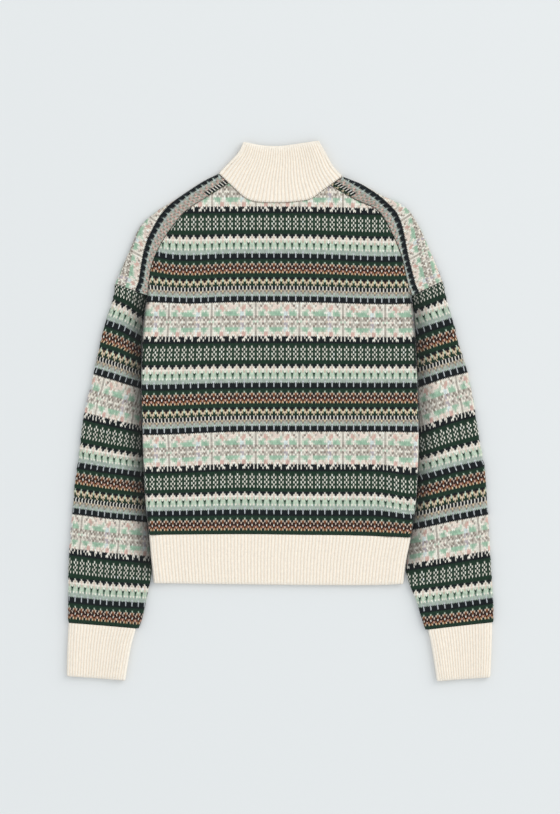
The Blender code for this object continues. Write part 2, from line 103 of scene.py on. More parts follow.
COLLAR_FRONT_EDGE = ((-56, 419), (-27, 411), (CENTRE, 408), (32, 412), (61, 421))
COLLAR_SIDE = (  # left across, left up, right across, right up: from the neck up
    (-94.5, 370.5, 98, 366), (-78, 388, 83, 382), (-64, 403, 72, 402), (-56, 419, 61, 421),
)
HEM_SEAM = ((-202, -190), (-61, -189), (32, -190), (115, -191), (204, -194))
HEM_EDGE = ((-195, -265), (-50, -267), (61, -268), (150, -268), (192, -266))
SLEEVE_OUTER = (  # left across, left up, right across, right up: sleeve head to cuff
    (-255, 200, 253, 203), (-259, 172, 259, 176), (-270, 139, 268, 145), (-281, 95, 279, 102),
    (-292, 45, 289, 72), (-304, -7, 299, 28), (-311, -64, 310, -40), (-317, -110, 319, -95),
    (-322, -160, 323, -150), (-326, -217, 327, -217), (-328, -273, 331, -280),
    (-328, -326, 332, -325),
)
SLEEVE_INNER_END = (  # the same columns: past the hem, where the inner edge swings to the cuff
    (-200, -262, 200, -262), (-204, -279, 205, -276), (-208, -299, 212, -292),
    (-213, -321, 218, -312), (-218, -335, 226, -337),
)
CUFF = (  # up and across at the outer edge, up and across at the inner edge, left then right
    (-326.5, -327, -335.2, -222, -325.7, 330, -337.0, 230),
    (-368, -329, -364, -230, -367, 329, -366, 236),
    (-409, -330, -416, -239, -411, 327, -417, 244),
)

# %% Soft folds of the upper layer
# across, up, half length, half width, rise, turn in degrees
BODY_FOLDS = (
    (172, -128, 75, 14, 4.2, 88), (196, -60, 80, 12, 2.0, 86), (-150, 150, 60, 15, 2.2, 160),
    (-120, -20, 75, 16, 2.4, 172), (60, 60, 90, 18, 1.6, 8), (-40, -120, 80, 16, 1.4, 176),
    (-184, 20, 70, 12, 2.2, 92), (120, 205, 60, 16, 1.6, 150),
)
SLEEVE_FOLDS = (
    (-236, 34, 42, 11, 3.4, 62), (-254, -52, 55, 12, 2.2, 72), (-276, -170, 70, 13, 2.0, 84),
    (-246, -262, 45, 12, 2.6, 60), (238, 40, 42, 11, 3.4, 118), (256, -60, 55, 12, 2.2, 108),
    (284, -176, 70, 13, 2.0, 96), (254, -262, 45, 12, 2.6, 118), (-240, 140, 34, 12, 1.8, 40),
    (240, 144, 34, 12, 1.8, 140),
)


# %% Lines through the listed points
BACK_MIDDLE = (0.0, 0.0)
COLLAR_MIDDLE = (0.0, 380.0)


def smooth(points, steps=12):
    """A smooth line through the points."""
    p = np.array(points, float)
    p = np.vstack([2 * p[0] - p[1], p, 2 * p[-1] - p[-2]])
    line = []
    for a, b, c, d in zip(p[:-3], p[1:-2], p[2:-1], p[3:]):
        for t in np.arange(steps) / steps:
            bend = (2 * a - 5 * b + 4 * c - d) * t + (3 * b - a - 3 * c + d) * t * t
            line.append(b + 0.5 * t * ((c - a) + bend))
    line.append(p[-2])
    return np.array(line)


def along(line, shares):
    """Points of a line at shares of its length."""
    run = np.concatenate([[0], np.cumsum(np.linalg.norm(np.diff(line, axis=0), axis=1))])
    at = np.asarray(shares) * run[-1]
    return np.column_stack([np.interp(at, run, line[:, i]) for i in (0, 1)])


def units(vectors):
    return vectors / np.linalg.norm(vectors, axis=-1)[..., None]


def rightwards(line):
    """Unit directions square to a line, to its right."""
    step = units(np.gradient(line, axis=0))
    return np.column_stack([step[:, 1], -step[:, 0]])


def moved(line, towards, gap=SEAM / 2):
    """The line moved sideways by a gap, to the side on which a point lies."""
    normal = rightwards(line)
    middle = len(line) // 2
    side = np.sign(np.dot(np.array(towards) - line[middle], normal[middle]))
    return line + side * gap * normal


def sewn_line(points, gap=SEAM / 2):
    """A piece's edge at a seam: half the gap in from the smooth line of the seam."""
    return moved(smooth(points), BACK_MIDDLE, gap)


def column_pair(table, side):
    """A table's across and up columns of one side: 0 is left, 1 is right."""
    return [(row[2 * side], row[2 * side + 1]) for row in table]


def table_line(table):
    """A table's columns, each as an array."""
    return tuple(np.array(column, float) for column in zip(*table))


def body_side(side):
    """The side of body and hem, from the bottom of the hem up."""
    return smooth([(row[1 + side], row[0]) for row in BODY_SIDE])[::-1]


def across_at(line, up):
    """Where a line that runs up the garment lies, at any height."""
    order = np.argsort(line[:, 1])
    return np.interp(up, line[order, 1], line[order, 0])


def up_at(line, across):
    """How high a line that runs across the garment lies, at any place."""
    order = np.argsort(line[:, 0])
    return np.interp(across, line[order, 0], line[order, 1])


# %% Soft steps and folds
def ease(t):
    """A soft step from 0 to 1."""
    t = np.clip(t, 0, 1)
    return t * t * (3 - 2 * t)


def between(up, bottom, rise, top, fall):
    """1 between two heights, rising softly above the lower and falling below the upper."""
    return ease((up - bottom) / rise) * ease((top - up) / fall)


def closed(up):
    """0 where the body is open to the sleeve, 1 where its side is folded and seamed."""
    return ease((UNDERARM + CLOSING / 2 - up) / CLOSING)


def lift(across, up, folds):
    """How far soft folds lift the upper layer."""
    total = np.zeros(np.shape(across))
    for x, y, long, wide, rise, turn in folds:
        angle = math.radians(turn)
        lengthwise = ((across - x) * math.cos(angle) + (up - y) * math.sin(angle)) / long
        crosswise = ((up - y) * math.cos(angle) - (across - x) * math.sin(angle)) / wide
        total += rise * np.exp(-lengthwise ** 2 - crosswise ** 2)
    return total


def upper_height(across, up, level, folds, sides, fold):
    """Height of an upper layer's outer face.

    sides holds, for each side with a fold, the distance inboard of the fold and how shut it is.
    """
    height = np.full(np.shape(across), level)
    fade = np.ones(np.shape(across))
    for inboard, shut in sides:
        height += (2 * fold - level) * ease(1 - inboard / SWELL) * shut
        fade *= 1 - (1 - ease(inboard / FADE)) * shut
    return height + lift(across, up, folds) * fade


def stacked(across, up, height):
    """One array of points or directions from their three parts."""
    return np.stack(np.broadcast_arrays(across, up, height), axis=-1).astype(float)


# %% [markdown]
# ## Yarns and charts
#
# Fair Isle knitting carries two yarns in each row and changes them from row to row, so the
# whole look is a chart: one letter for each stitch. Most rows repeat after four stitches. The
# band of stars repeats after 24. Both charts were set out as a knitter reads a garment.

# %% The yarns
YARNS = {  # sRGB, as the eye sees each yarn
    "C": (0.975, 0.945, 0.890), "K": (0.066, 0.092, 0.106), "F": (0.112, 0.214, 0.152),
    "G": (0.695, 0.745, 0.694), "M": (0.660, 0.785, 0.680), "N": (0.800, 0.860, 0.775),
    "S": (0.760, 0.725, 0.675), "H": (0.600, 0.550, 0.500), "R": (0.560, 0.350, 0.230),
    "D": (0.190, 0.108, 0.078), "T": (0.880, 0.800, 0.660), "P": (0.882, 0.732, 0.680),
    "B": (0.965, 0.890, 0.835), "A": (0.880, 0.920, 0.905), "L": (0.750, 0.710, 0.725),
    "O": (0.360, 0.470, 0.380), "E": (0.240, 0.310, 0.250), "Y": (0.870, 0.795, 0.720),
    "V": (0.790, 0.805, 0.808), "Q": (0.280, 0.300, 0.310), "U": (0.560, 0.650, 0.590),
}
LETTERS = "".join(YARNS)
YARN_COLOURS = np.array(list(YARNS.values()))
RIB_YARN = (0.953, 0.919, 0.866)
# painted shade: deep in the ribs' valleys their colour is multiplied by this darker tint
RIB_VALLEY_SHADE = (0.975, 0.945, 0.915)

# %% The rows that repeat after four stitches
SMALL_ROWS = (  # chart rows 1 to 43, from the collar's side down
    "KKKK", "FFFF", "CFFF", "FCFC", "CFEF", "FCFC", "CFEF", "FCFC", "FFFF", "FFFF",
    "CKKK", "YCKC", "BCCC", "YNCN", "NNFN", "NNON", "NCUC", "GGGG", "VGGG", "VKKK",
    "VKKK", "KKKK", "FFFF", "NFFF", "RYKY", "RDYD", "CDDD", "DRPR", "RTKT", "FFFF",
    "FFFF", "NKKK", "NTDT", "FTYT", "FFTF", "KCKC", "KCKC", "THSH", "HGSG", "VGGG",
    "VKKK", "VKKK", "KKKK",
)
SMALL_SHIFT = 2  # a star's axis stands on each string's third letter

# %% The band of stars, and the teeth under it
STAR_ROWS = (  # chart rows 44 to 60, each from a star's axis to the next
    "SCCCSCCCYBBCHCCYCCCCSCCC", "SCBHCPYCCSBBBBCSCYPCBHCC", "SCSCBPPYCBBBBCNCYPPCCBSC",
    "SCCCNNPCYCCNNNNCCPCNCNCC", "SCNMMCCNMMMMMMCCAACMMMNC", "SCNMMNCCNMMMMMMNAACMMMMC",
    "HSCHSSHCHSSCHSHCLHLSCHSC", "SCHCSCSHCHSSSHCSLCSCHCHS", "CNCCBCSCCCSCCCSYCBCCCSCN",
    "HCSCHSCSSHSCHSHSLLCSHSCS", "SCCSCSSCHCSSCSCSCLSCSCSC", "SNMMMNCCMMMMMMMNAACMMMNC",
    "SCNMMCCCNMMMNMNCACCNMNCC", "SCCCNPPCCCNBBYCBCPPCNCCC", "SCCBCPPCCYCBCBYCCPPCCYCC",
    "KCKCKCCKKKCCKCCKKKCCKCKC", "KCKKCKCCKKCKKKCKKCCKCKKC",
)
REPEAT = 24


def full_chart():
    """The chart as numbers of yarns: 60 rows of 24 stitches, from a star's axis."""
    small = [(row * REPEAT)[SMALL_SHIFT:SMALL_SHIFT + REPEAT] for row in SMALL_ROWS]
    return np.array([[LETTERS.index(letter) for letter in row] for row in (*small, *STAR_ROWS)])


CHART = full_chart()
CHART_ROWS = len(CHART)
print("chart", CHART.shape, "yarns", len(YARNS))

# %% [markdown]
# ## From stitches to a mesh
#
# A knit stitch is a V: two plump legs that meet low in the middle. In the mesh each stitch is
# four narrow columns, the row lines zigzag by a third of a row, and the wale's edge and middle
# lie deeper than the legs. So each colour change has the toothed edge of real knitting. One
# builder makes every piece: it takes a lattice of outer and inner points, drops what lies past
# a seam, closes the rim, and fills the plain inside with few large triangles.

# %% The shape of one stitch
STITCH = (  # share of the stitch's width, rows up, mm below the crest
    (0.0, 0.32, 0.85), (0.25, 0.0, 0.0), (0.5, -0.32, 0.3), (0.75, 0.0, 0.05),
)
PLAIN_STITCH = ((0.0, 0.3, 0.7), (0.5, -0.3, 0.0))
UNEVEN_ROW = 0.03      # rows by which a point strays
UNEVEN_DEPTH = 0.05    # mm by which it strays
UNEVEN_STITCH = 0.035  # spread of the shade from stitch to stitch
UNEVEN_LEG = 0.02      # ... and between the columns of one stitch
STRAND_SHADE = 0.72    # how far a darker yarn beside a stitch shows through at its edge
rng = np.random.default_rng(7)


def repeated(parts, count):
    """Places, rises and depths of the points across a count of stitches or ribs."""
    share, rise, depth = table_line(parts)
    place = np.append((np.arange(count)[:, None] + share).ravel(), count)
    return (place, *(np.append(np.tile(column, count), column[0]) for column in (rise, depth)))


def stitch_lattice(first, last, rows, parts):
    """Lattice of whole stitches: place across and up in stitches, and depth below the crest."""
    place, rise, depth = repeated(parts, last - first)
    row = np.clip(np.arange(rows + 1)[:, None] + rise, 0, rows)
    row[1:-1] += rng.normal(0, UNEVEN_ROW, row[1:-1].shape)
    depth = depth + np.abs(rng.normal(0, UNEVEN_DEPTH, row.shape))
    return np.broadcast_to(place + first - 0.5, row.shape), row, depth


def stitch_colours(first, last, rows, parts, chart):
    """The colour of each face of a lattice. The chart gives a yarn for each stitch and row."""
    stitch, row = np.meshgrid(np.arange(first, last), np.arange(rows))
    colours = YARN_COLOURS[chart(stitch, row)]
    neighbours = [np.roll(colours, by, axis=1) for by in (1, -1)]
    shade = 1 + rng.normal(0, UNEVEN_STITCH, colours.shape[:2])
    colours = np.repeat(colours * shade[..., None], len(parts), axis=1)
    for part, beside in zip((0, len(parts) - 1), neighbours):
        own = colours[:, part::len(parts)]
        contrast = 1 - beside.sum(axis=-1) / own.sum(axis=-1)
        own += STRAND_SHADE * np.maximum(contrast, 0)[..., None] * (beside - own)
    legs = 1 + rng.normal(0, UNEVEN_LEG, colours.shape[:2])
    return np.clip(colours * legs[..., None], 0, 1)


# %% The rim and the inside of a piece
INNER_WALES = 4  # spacing of the inside's points, in stitches
INNER_ROWS = 4   # ... and in rows


def rim_edges(quads):
    """Edges that only one face uses, in that face's direction, and the face's number."""
    pairs = np.concatenate([quads[:, [k, (k + 1) % 4]] for k in range(4)])
    owner = np.tile(np.arange(len(quads)), 4)
    _, first, count = np.unique(np.sort(pairs, axis=1), axis=0, return_index=True,
                                return_counts=True)
    lone = first[count == 1]
    return pairs[lone], owner[lone]


def inside_triangles(kept, rim, columns, step):
    """Large triangles between the rim's points and a few points inside it."""
    spots = list(np.unique(rim))
    for j in range(INNER_ROWS, kept.shape[0], INNER_ROWS):
        for i in range(INNER_WALES * step, kept.shape[1], INNER_WALES * step):
            if kept[j - 1:j + 1, i - step:i + step].all():
                spots.append(j * columns + i)
    spots = np.unique(spots)
    number = {int(spot): k for k, spot in enumerate(spots)}
    flat_points = [Vector((int(s) % columns / step, int(s) // columns)) for s in spots]
    edges = [(number[int(a)], number[int(b)]) for a, b in rim]
    # 0 fills the whole hull, and 1e-6 is how close two points may lie and still be two
    _, _, faces, origins, _, _ = delaunay_2d_cdt(flat_points, edges, [], 0, 1e-6, True)
    corners = np.array([[int(spots[origins[v][0]]) for v in face] for face in faces
                        if all(origins[v] for v in face)])
    middle = np.stack([corners // columns, corners % columns]).mean(axis=2)
    cell_row, cell_column = middle.astype(int)
    use = kept[np.minimum(cell_row, kept.shape[0] - 1), np.minimum(cell_column, kept.shape[1] - 1)]
    return corners[use], cell_row[use], cell_column[use]


# %% From arrays to a Blender mesh
def fill_mesh(mesh, points, faces):
    """Vertices and faces of a mesh, from arrays of quads and triangles."""
    sizes = np.concatenate([np.full(len(part), part.shape[1]) for part in faces])
    corners = np.concatenate([part.ravel() for part in faces]).astype(np.int32)
    mesh.vertices.add(len(points))
    mesh.vertices.foreach_set("co", points.astype(np.float32).ravel())
    mesh.loops.add(len(corners))
    mesh.loops.foreach_set("vertex_index", corners)
    mesh.polygons.add(len(sizes))
    mesh.polygons.foreach_set("loop_start", (np.cumsum(sizes) - sizes).astype(np.int32))
    mesh.update(calc_edges=True)
    return corners, sizes


def add_map(mesh, name, across, up):
    """A UV map, from a place across and up for each corner of a face."""
    layer = mesh.uv_layers.new(name=name)
    layer.data.foreach_set("uv", np.column_stack([across, up]).astype(np.float32).ravel())


def add_object(name, data):
    thing = bpy.data.objects.new(name, data)
    bpy.context.scene.collection.objects.link(thing)
    return thing


def signed_volume(points, faces):
    """Six times the volume inside the faces: less than zero if they face inwards."""
    total = 0.0
    for part in faces:
        a = points[part[:, 0]]
        for k in range(1, part.shape[1] - 1):
            total += np.einsum("ij,ij->", a, np.cross(points[part[:, k]], points[part[:, k + 1]]))
    return total


# %% The builder of every piece
RIM_DEPTH = 0.4      # mm below the crest that a stitch at the rim may lie
RIM_SINK = 0.3       # mm further down that cloth rounds at its edges and seams
INSIDE_SHADE = 0.9   # painted shade: the inside's colour is darkened, as it gets less light
BAKE_OUTSIDE = 0.93          # share of the baked picture's height for the outside
BAKE_INSIDE = (0.94, 0.06)   # where the inside's share starts, and its height


def knitted_piece(name, outer, inner, depth, outside, colours, wale, step, material):
    """A wall of knitting that stands for the CAD node of the same name."""
    rows, columns = depth.shape
    count = rows * columns
    grid = np.arange(count).reshape(rows, columns)
    cells = np.stack([grid[:-1, :-1], grid[:-1, 1:], grid[1:, 1:], grid[1:, :-1]], axis=-1)
    kept = outside.ravel()[cells].sum(axis=-1) < 3  # a face goes once three corners are
    quads = cells[kept]
    rim, owner = rim_edges(quads)
    triangles, cell_row, cell_column = inside_triangles(kept, rim, columns, step)

    depth = depth.copy().reshape(-1)
    at_rim = np.unique(rim)
    depth[at_rim] = np.minimum(depth[at_rim], RIM_DEPTH) + RIM_SINK
    outer_points, inner_points = outer.reshape(-1, 3), inner.reshape(-1, 3)
    inwards = inner_points - outer_points
    sunk = outer_points + inwards * (depth / np.linalg.norm(inwards, axis=1))[:, None]
    points = (np.concatenate([sunk, inner_points]) - TABLE_MIDDLE) * MM
    walls = np.column_stack([rim[:, 1], rim[:, 0], rim[:, 0] + count, rim[:, 1] + count])
    faces = [quads, walls, triangles[:, ::-1] + count]
    if signed_volume(points, faces) < 0:
        faces = [part[:, ::-1] for part in faces]
    used = np.unique(np.concatenate([part.ravel() for part in faces]))
    renumber = np.zeros(2 * count, int)
    renumber[used] = np.arange(len(used))

    mesh = bpy.data.meshes.new(name + "_knit")
    corners, sizes = fill_mesh(mesh, points[used], [renumber[part] for part in faces])
    own = used[corners]
    row_line = own % count // columns
    place = own % columns
    add_map(mesh, "Stitches", wale[place] + 0.5, row_line)
    level = np.where(own < count, BAKE_OUTSIDE * row_line / (rows - 1),
                     BAKE_INSIDE[0] + BAKE_INSIDE[1] * row_line / (rows - 1))
    add_map(mesh, "OFBake", place / (columns - 1), level)
    face_colours = np.concatenate([colours[kept], colours[kept][owner],
                                   colours[cell_row, cell_column] * INSIDE_SHADE])
    tint = np.column_stack([np.repeat(face_colours, sizes, axis=0), np.ones(len(corners))])
    yarn = mesh.color_attributes.new("yarn", "BYTE_COLOR", "CORNER")
    yarn.data.foreach_set("color_srgb", tint.astype(np.float32).ravel())
    mesh.shade_smooth()
    rounded = np.ones(len(sizes), bool)
    rounded[len(quads):len(quads) + len(walls)] = False  # a cut edge stays crisp
    mesh.polygons.foreach_set("use_smooth", rounded)
    mesh.materials.append(material)
    piece = add_object(name + "_knit", mesh)
    lie_flat(piece, name)
    print(name, sum(len(part) * (part.shape[1] - 2) for part in faces), "triangles")
    return piece


def lie_flat(piece, name):
    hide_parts(name)
    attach(piece, "root")


# %% [markdown]
# ## Yarn as a material
#
# The mesh gives each stitch its place, colour and V. The material adds what is finer: each leg
# is a round strand, two plies twist round each other, and short fibres blur the surface. All of
# it is worked out from the stitch coordinates that the builder stored, so it lines up with the
# legs. Gaps between the strands get painted shade in the base colour, as light hardly reaches them.

# %% Wool with strands, plies and fibres
PLY_TURNS = 2.0  # turns of the plies for each row


def yarn_material(name, gap_shade, bump, roughness, sheen):
    """Wool that lies in knit stitches; its colour is the one stored on the mesh, with painted
    shade.
    """
    material = bpy.data.materials.new(name)
    material.use_nodes = True
    nodes, links = material.node_tree.nodes, material.node_tree.links
    shader = nodes["Principled BSDF"]
    spot = nodes.new("ShaderNodeTexCoord")

    def calc(action, *values):
        node = nodes.new("ShaderNodeMath")
        node.operation = action
        for socket, value in zip(node.inputs, values):
            if isinstance(value, float):
                socket.default_value = value
            else:
                links.new(value, socket)
        return node.outputs[0]

    def scaled(value, factor, offset):
        return calc("ADD", calc("MULTIPLY", value, factor), offset)

    def noise(scale, detail):
        node = nodes.new("ShaderNodeTexNoise")
        node.inputs["Scale"].default_value = scale
        node.inputs["Detail"].default_value = detail
        links.new(spot.outputs["Object"], node.inputs["Vector"])
        return node.outputs["Fac"]

    place = nodes.new("ShaderNodeUVMap")
    place.uv_map = "Stitches"
    split = nodes.new("ShaderNodeSeparateXYZ")
    links.new(place.outputs["UV"], split.inputs["Vector"])
    stitch, row = split.outputs["X"], split.outputs["Y"]
    leg = calc("FRACT", calc("MULTIPLY", stitch, 2.0))
    from_middle = scaled(leg, 2.0, -1.0)
    round_leg = calc("SUBTRACT", 1.0, calc("MULTIPLY", from_middle, from_middle))
    row_wave = calc("SINE", calc("MULTIPLY", calc("FRACT", row), math.pi))
    plump = calc("MULTIPLY", round_leg, scaled(row_wave, 0.55, 0.45))  # thin at a row's ends
    side = scaled(calc("GREATER_THAN", calc("FRACT", stitch), 0.5), 2.0, -1.0)
    slant = calc("MULTIPLY", calc("MULTIPLY", leg, side), 1.2)  # plies mirror on the two legs
    turn = calc("ADD", calc("MULTIPLY", row, PLY_TURNS), slant)
    plies = calc("SINE", calc("MULTIPLY", turn, 2 * math.pi))
    fibres, drift = noise(1400.0, 3.0), noise(260.0, 2.0)  # finer than a leg; about a stitch

    relief = nodes.new("ShaderNodeBump")
    relief.inputs["Strength"].default_value = bump
    relief.inputs["Distance"].default_value = 0.0006  # metres
    height = calc("ADD", plump, calc("MULTIPLY", plies, 0.12))
    height = calc("ADD", height, calc("MULTIPLY", fibres, 0.35))
    links.new(height, relief.inputs["Height"])
    links.new(relief.outputs["Normal"], shader.inputs["Normal"])

    colour = nodes.new("ShaderNodeAttribute")
    colour.attribute_name = "yarn"
    # painted shade: the base colour darkens in the gaps between legs and along the plies' grooves;
    # fibres and drift vary its tone at random
    light = scaled(plump, gap_shade, 1.0 - gap_shade)
    for part, strength, least in ((plies, 0.05, 1.0), (fibres, 0.2, 0.9), (drift, 0.16, 0.92)):
        light = calc("MULTIPLY", light, scaled(part, strength, least))
    shaded = nodes.new("ShaderNodeVectorMath")
    shaded.operation = "SCALE"
    links.new(colour.outputs["Color"], shaded.inputs[0])
    links.new(light, shaded.inputs["Scale"])
    links.new(shaded.outputs["Vector"], shader.inputs["Base Color"])
    for socket, value in (("Roughness", roughness), ("Specular IOR Level", 0.25),
                          ("Sheen Weight", sheen), ("Sheen Roughness", 0.6)):
        shader.inputs[socket].default_value = value
    return material


wool = yarn_material("fair_isle_wool", 0.27, 0.7, 0.95, 0.08)
rib_wool = yarn_material("cream_rib_wool", 0.04, 0.40, 0.93, 0.10)


# %% Knit one patterned piece
def knit(name, stitches, rows, place, chart, side=(), shade=None, parts=STITCH):
    """Lays a piece's lattice of stitches, colours them from the chart, darkens them by any painted
    shade and builds the cloth.
    """
    wale, row, depth = stitch_lattice(*stitches, rows, parts)
    outer, inner, outside = place(wale, row, *side)
    colours = stitch_colours(*stitches, rows, parts, chart)
    if shade:
        colours = colours * shade(outer, *side)
    return knitted_piece(name, outer, inner, depth, outside, colours, wale[0], len(parts), wool)


# %% [markdown]
# ## The back panel
#
# The back lies on top and fills most of the picture. Its wales run straight up from the hem and
# its rows run across, but a laid garment is never quite flat: the rows sag and rise by a few
# millimetres. A short table of soft bumps moves them. Stitches run past the side
# folds and round them, and stop at the armhole, the strap seams and the neck.

# %% Rows wander a little at the edges
ROW_WANDER = 0.5      # mm
MOST_ROWS = 200       # more than any piece has
BACK_SEED, SLEEVE_SEED = 20, 30


def wander(row, fresh):
    """How far each row's edge wanders: drawn once for each row."""
    draws = np.random.default_rng(fresh).normal(0, ROW_WANDER, MOST_ROWS)
    return np.interp(row, np.arange(MOST_ROWS), draws)


# %% Rows and wales of the back
BACK_STITCHES = (-68, 94)  # the first, and one past the last, from a star's axis
BACK_ROW_COUNT = 168
BACK_ROWS = (  # row counted up from the hem's seam, up
    (0, -189.3), (8, -163.9), (17, -136.0), (23, -117.3), (33, -80.5), (48, -30.3), (54, -11.2),
    (60, 8.1), (68, 33.6), (77, 61.5), (83, 81.6), (93, 118.2), (108, 170.6), (114, 190.0),
    (122, 216.1), (132, 246.4), (141, 276.3), (149, 305.3), (153, 318.9), (168, 372.4),
)
BACK_WALES = (  # stitch counted from a star's axis, across
    (-80, -255), (-48, -170.5), (-36, -138.5), (0, -36.8), (48, 98.5), (72, 164), (96, 232),
)
BACK_WAVES = (  # across, up, half width, half height, drop of the rows
    (163.5, 232.9, 85, 116, 4.5), (-138.7, 212.7, 43, 70, 3.4), (-203.8, 239.1, 22, 39, -5.0),
    (-200.7, -27.5, 85, 108, 5.0), (205.4, -123.6, 34, 62, 7.8), (-61.2, -120.5, 46, 62, -1.4),
)
LEFT_SPREAD = 0.15      # mm that each wale left of the axis is spread, most at one height
SPREAD_UP, SPREAD_TALL = 50, 75
WANDER_WIDE = 16        # mm in from the sides over which rows wander
HEM_ROWS = 12           # rows that bend to follow the hem's seam
ARMHOLE_ROUND = 0.7     # the armhole's edge rounds down this much of a fold
SIDE_RAISE = 2.4        # mm that the body's sides stand up beside the sleeves
SIDE_RAISE_WIDE = 26.0
SIDE_RAISED = (-240, 40, 215, 40)    # from this height, soft over so many mm, to this height
ARMHOLE_SHADE = 0.45    # painted shade: share of the colour darkened at the armhole's edge
ARMHOLE_SHADE_WIDE = 3.5
ARMHOLE_SHADED = (55, 30, 195, 15)   # heights as above
BODY_CHART_TOP = 30     # the back's row 30 starts a repeat of the chart


def body_chart(stitch, row):
    """The yarns of stitches counted from a star's axis and rows counted up from the hem."""
    return CHART[(BODY_CHART_TOP - row) % CHART_ROWS, stitch % REPEAT]


def sagging_rows(across, up):
    """Heights of the rows once the laid cloth has sagged."""
    drop = np.zeros(np.shape(across))
    for x, y, wide, tall, amount in BACK_WAVES:
        drop += amount * np.exp(-((across - x) / wide) ** 2 - ((up - y) / tall) ** 2)
    return up - drop


def sewn_to_hem(across, up, row, first_up):
    """Rows near the hem follow its seam."""
    return up + (up_at(sewn_line(HEM_SEAM), across) - first_up) * np.clip(1 - row / HEM_ROWS, 0, 1)


# %% A side edge: open at the armhole, folded below it
LEAST_RADIUS = 0.01


def panel_side(strap_seam, side):
    """A body panel's edge on one side: up the body's side, then along the strap's seam."""
    line = body_side(side) + [(1 - 2 * side) * SEAM / 2, 0]
    line = line[line[:, 1] < BODY_SIDE[0][0]]
    return np.vstack([line, sewn_line(column_pair(strap_seam, side))[::-1]])


def round_side(distance, shut):
    """A layer's turn at its side, from the distance past the start of the turn.

    Gives the distance that shows from above, the drop, the lean of the normal and whether the
    place lies past the seam.
    """
    radius = np.maximum(FOLD * shut, LEAST_RADIUS)
    angle = np.clip(distance / radius, 0, math.pi / 2)
    seen = np.where(distance > 0, radius * np.sin(angle), distance)
    return seen, radius * (1 - np.cos(angle)), angle, distance > radius * math.pi / 2


def wall_points(across, up, height, normal, outside):
    """Outer and inner points of a wall of cloth, and which of them lie past a seam."""
    outer = stacked(across, up, height)
    return outer, outer - WALL * normal, outside


# %% Lay the back
def place_back(wale, row):
    up = np.interp(row, *table_line(BACK_ROWS))
    across = np.interp(wale, *table_line(BACK_WALES))
    spread = LEFT_SPREAD * np.maximum(-wale, 0)
    across = across - spread * np.exp(-((up - SPREAD_UP) / SPREAD_TALL) ** 2)
    up = sewn_to_hem(across, sagging_rows(across, up), row, sagging_rows(across, BACK_ROWS[0][1]))
    for side in (0, 1):
        near = np.exp(-np.abs(across - BODY_SIDE[0][1 + side]) / WANDER_WIDE)
        across = across + near * wander(row, BACK_SEED + side)
    top = up_at(sewn_line(BACK_NECK), across)
    outside = up > top
    up = np.minimum(up, top)
    edges = [across_at(panel_side(BACK_STRAP_SEAM, side), up) for side in (0, 1)]
    folded = closed(up)
    shut = ARMHOLE_ROUND + (1 - ARMHOLE_ROUND) * folded
    inboard = [across - edges[0] - FOLD * shut, edges[1] - FOLD * shut - across]
    level = upper_height(across, up, BODY_TOP, BODY_FOLDS,
                         [(np.maximum(d, 0), folded) for d in inboard], FOLD)
    for d in inboard:
        level = level + SIDE_RAISE * between(up, *SIDE_RAISED) * ease(1 - d / SIDE_RAISE_WIDE)
    height, lean_across, lean_up = level, 0.0, 1.0
    for side, outwards in ((0, -1), (1, 1)):
        seen, drop, angle, past = round_side(-inboard[side], shut)
        turning = inboard[side] < 0
        start = edges[side] - outwards * FOLD * shut
        across = np.where(turning, start + outwards * seen, across)
        deep = np.where(folded > 0.5, (level - FOLD) / FOLD, 1.0)
        height = np.where(turning, level - drop * deep, height)
        lean_across = np.where(turning, outwards * np.sin(angle), lean_across)
        lean_up = np.where(turning, np.cos(angle), lean_up)
        outside |= past
    return wall_points(across, up, height, stacked(lean_across, 0, lean_up), outside)


def armhole_shade(outer):
    """Painted shade: how much colour stays at the back's edge, where it turns down into the
    armhole.
    """
    across, up = outer[1:, 1:, 0], outer[1:, 1:, 1]
    edges = [across_at(panel_side(BACK_STRAP_SEAM, side), up) for side in (0, 1)]
    beside = np.abs([across - edge for edge in edges]).min(axis=0)
    lost = ARMHOLE_SHADE * np.exp(-(beside / ARMHOLE_SHADE_WIDE) ** 2)
    return (1 - lost * between(up, *ARMHOLE_SHADED))[..., None]


knit("back", BACK_STITCHES, BACK_ROW_COUNT, place_back, body_chart, shade=armhole_shade)

# %% [markdown]
# ## The two fronts
#
# The fronts lie underneath, their outer faces down on the floor, and meet at the centre front.
# Nothing of them shows in the picture, so they are finished plainly: the same charts, two
# columns for each stitch, and a turn up to the side seam.

# %% Lay the fronts
FRONT_STITCHES = ((-80, 1), (-1, 80))
FRONT_ROW_COUNT = 152
FRONT_WALE = 2.78  # mm for each stitch


def place_front(wale, row, side):
    outwards = 2 * side - 1
    up = np.interp(row, *table_line(BACK_ROWS))
    across = CENTRE + wale * FRONT_WALE
    up = sewn_to_hem(across, up, row, BACK_ROWS[0][1])
    top = up_at(sewn_line(FRONT_NECK), across)
    outside = up > top
    up = np.minimum(up, top)
    middle = CENTRE + outwards * SEAM / 2
    outside |= outwards * (across - middle) < 0
    across = middle + outwards * np.maximum(outwards * (across - middle), 0)
    shut = closed(up)
    start = across_at(panel_side(FRONT_STRAP_SEAM, side), up) - outwards * FOLD * shut
    distance = outwards * (across - start)
    seen, rise, angle, past = round_side(distance, shut)
    across = np.where(distance > 0, start + outwards * seen, across)
    normal = stacked(outwards * np.sin(angle), 0, -np.cos(angle))
    return wall_points(across, up, rise, normal, outside | past)


for side, name in enumerate(("front_left", "front_right")):
    knit(name, FRONT_STITCHES[side], FRONT_ROW_COUNT, place_front, body_chart, (side,),
         parts=PLAIN_STITCH)

# %% [markdown]
# ## The sleeves
#
# A sleeve is one sheet folded down its outer side, so its stitches run from the seam beside the
# body, over the upper layer, round the fold and back underneath. The wales follow the outer
# fold. The rows dip towards the body, because the arm of the real jacket slopes.

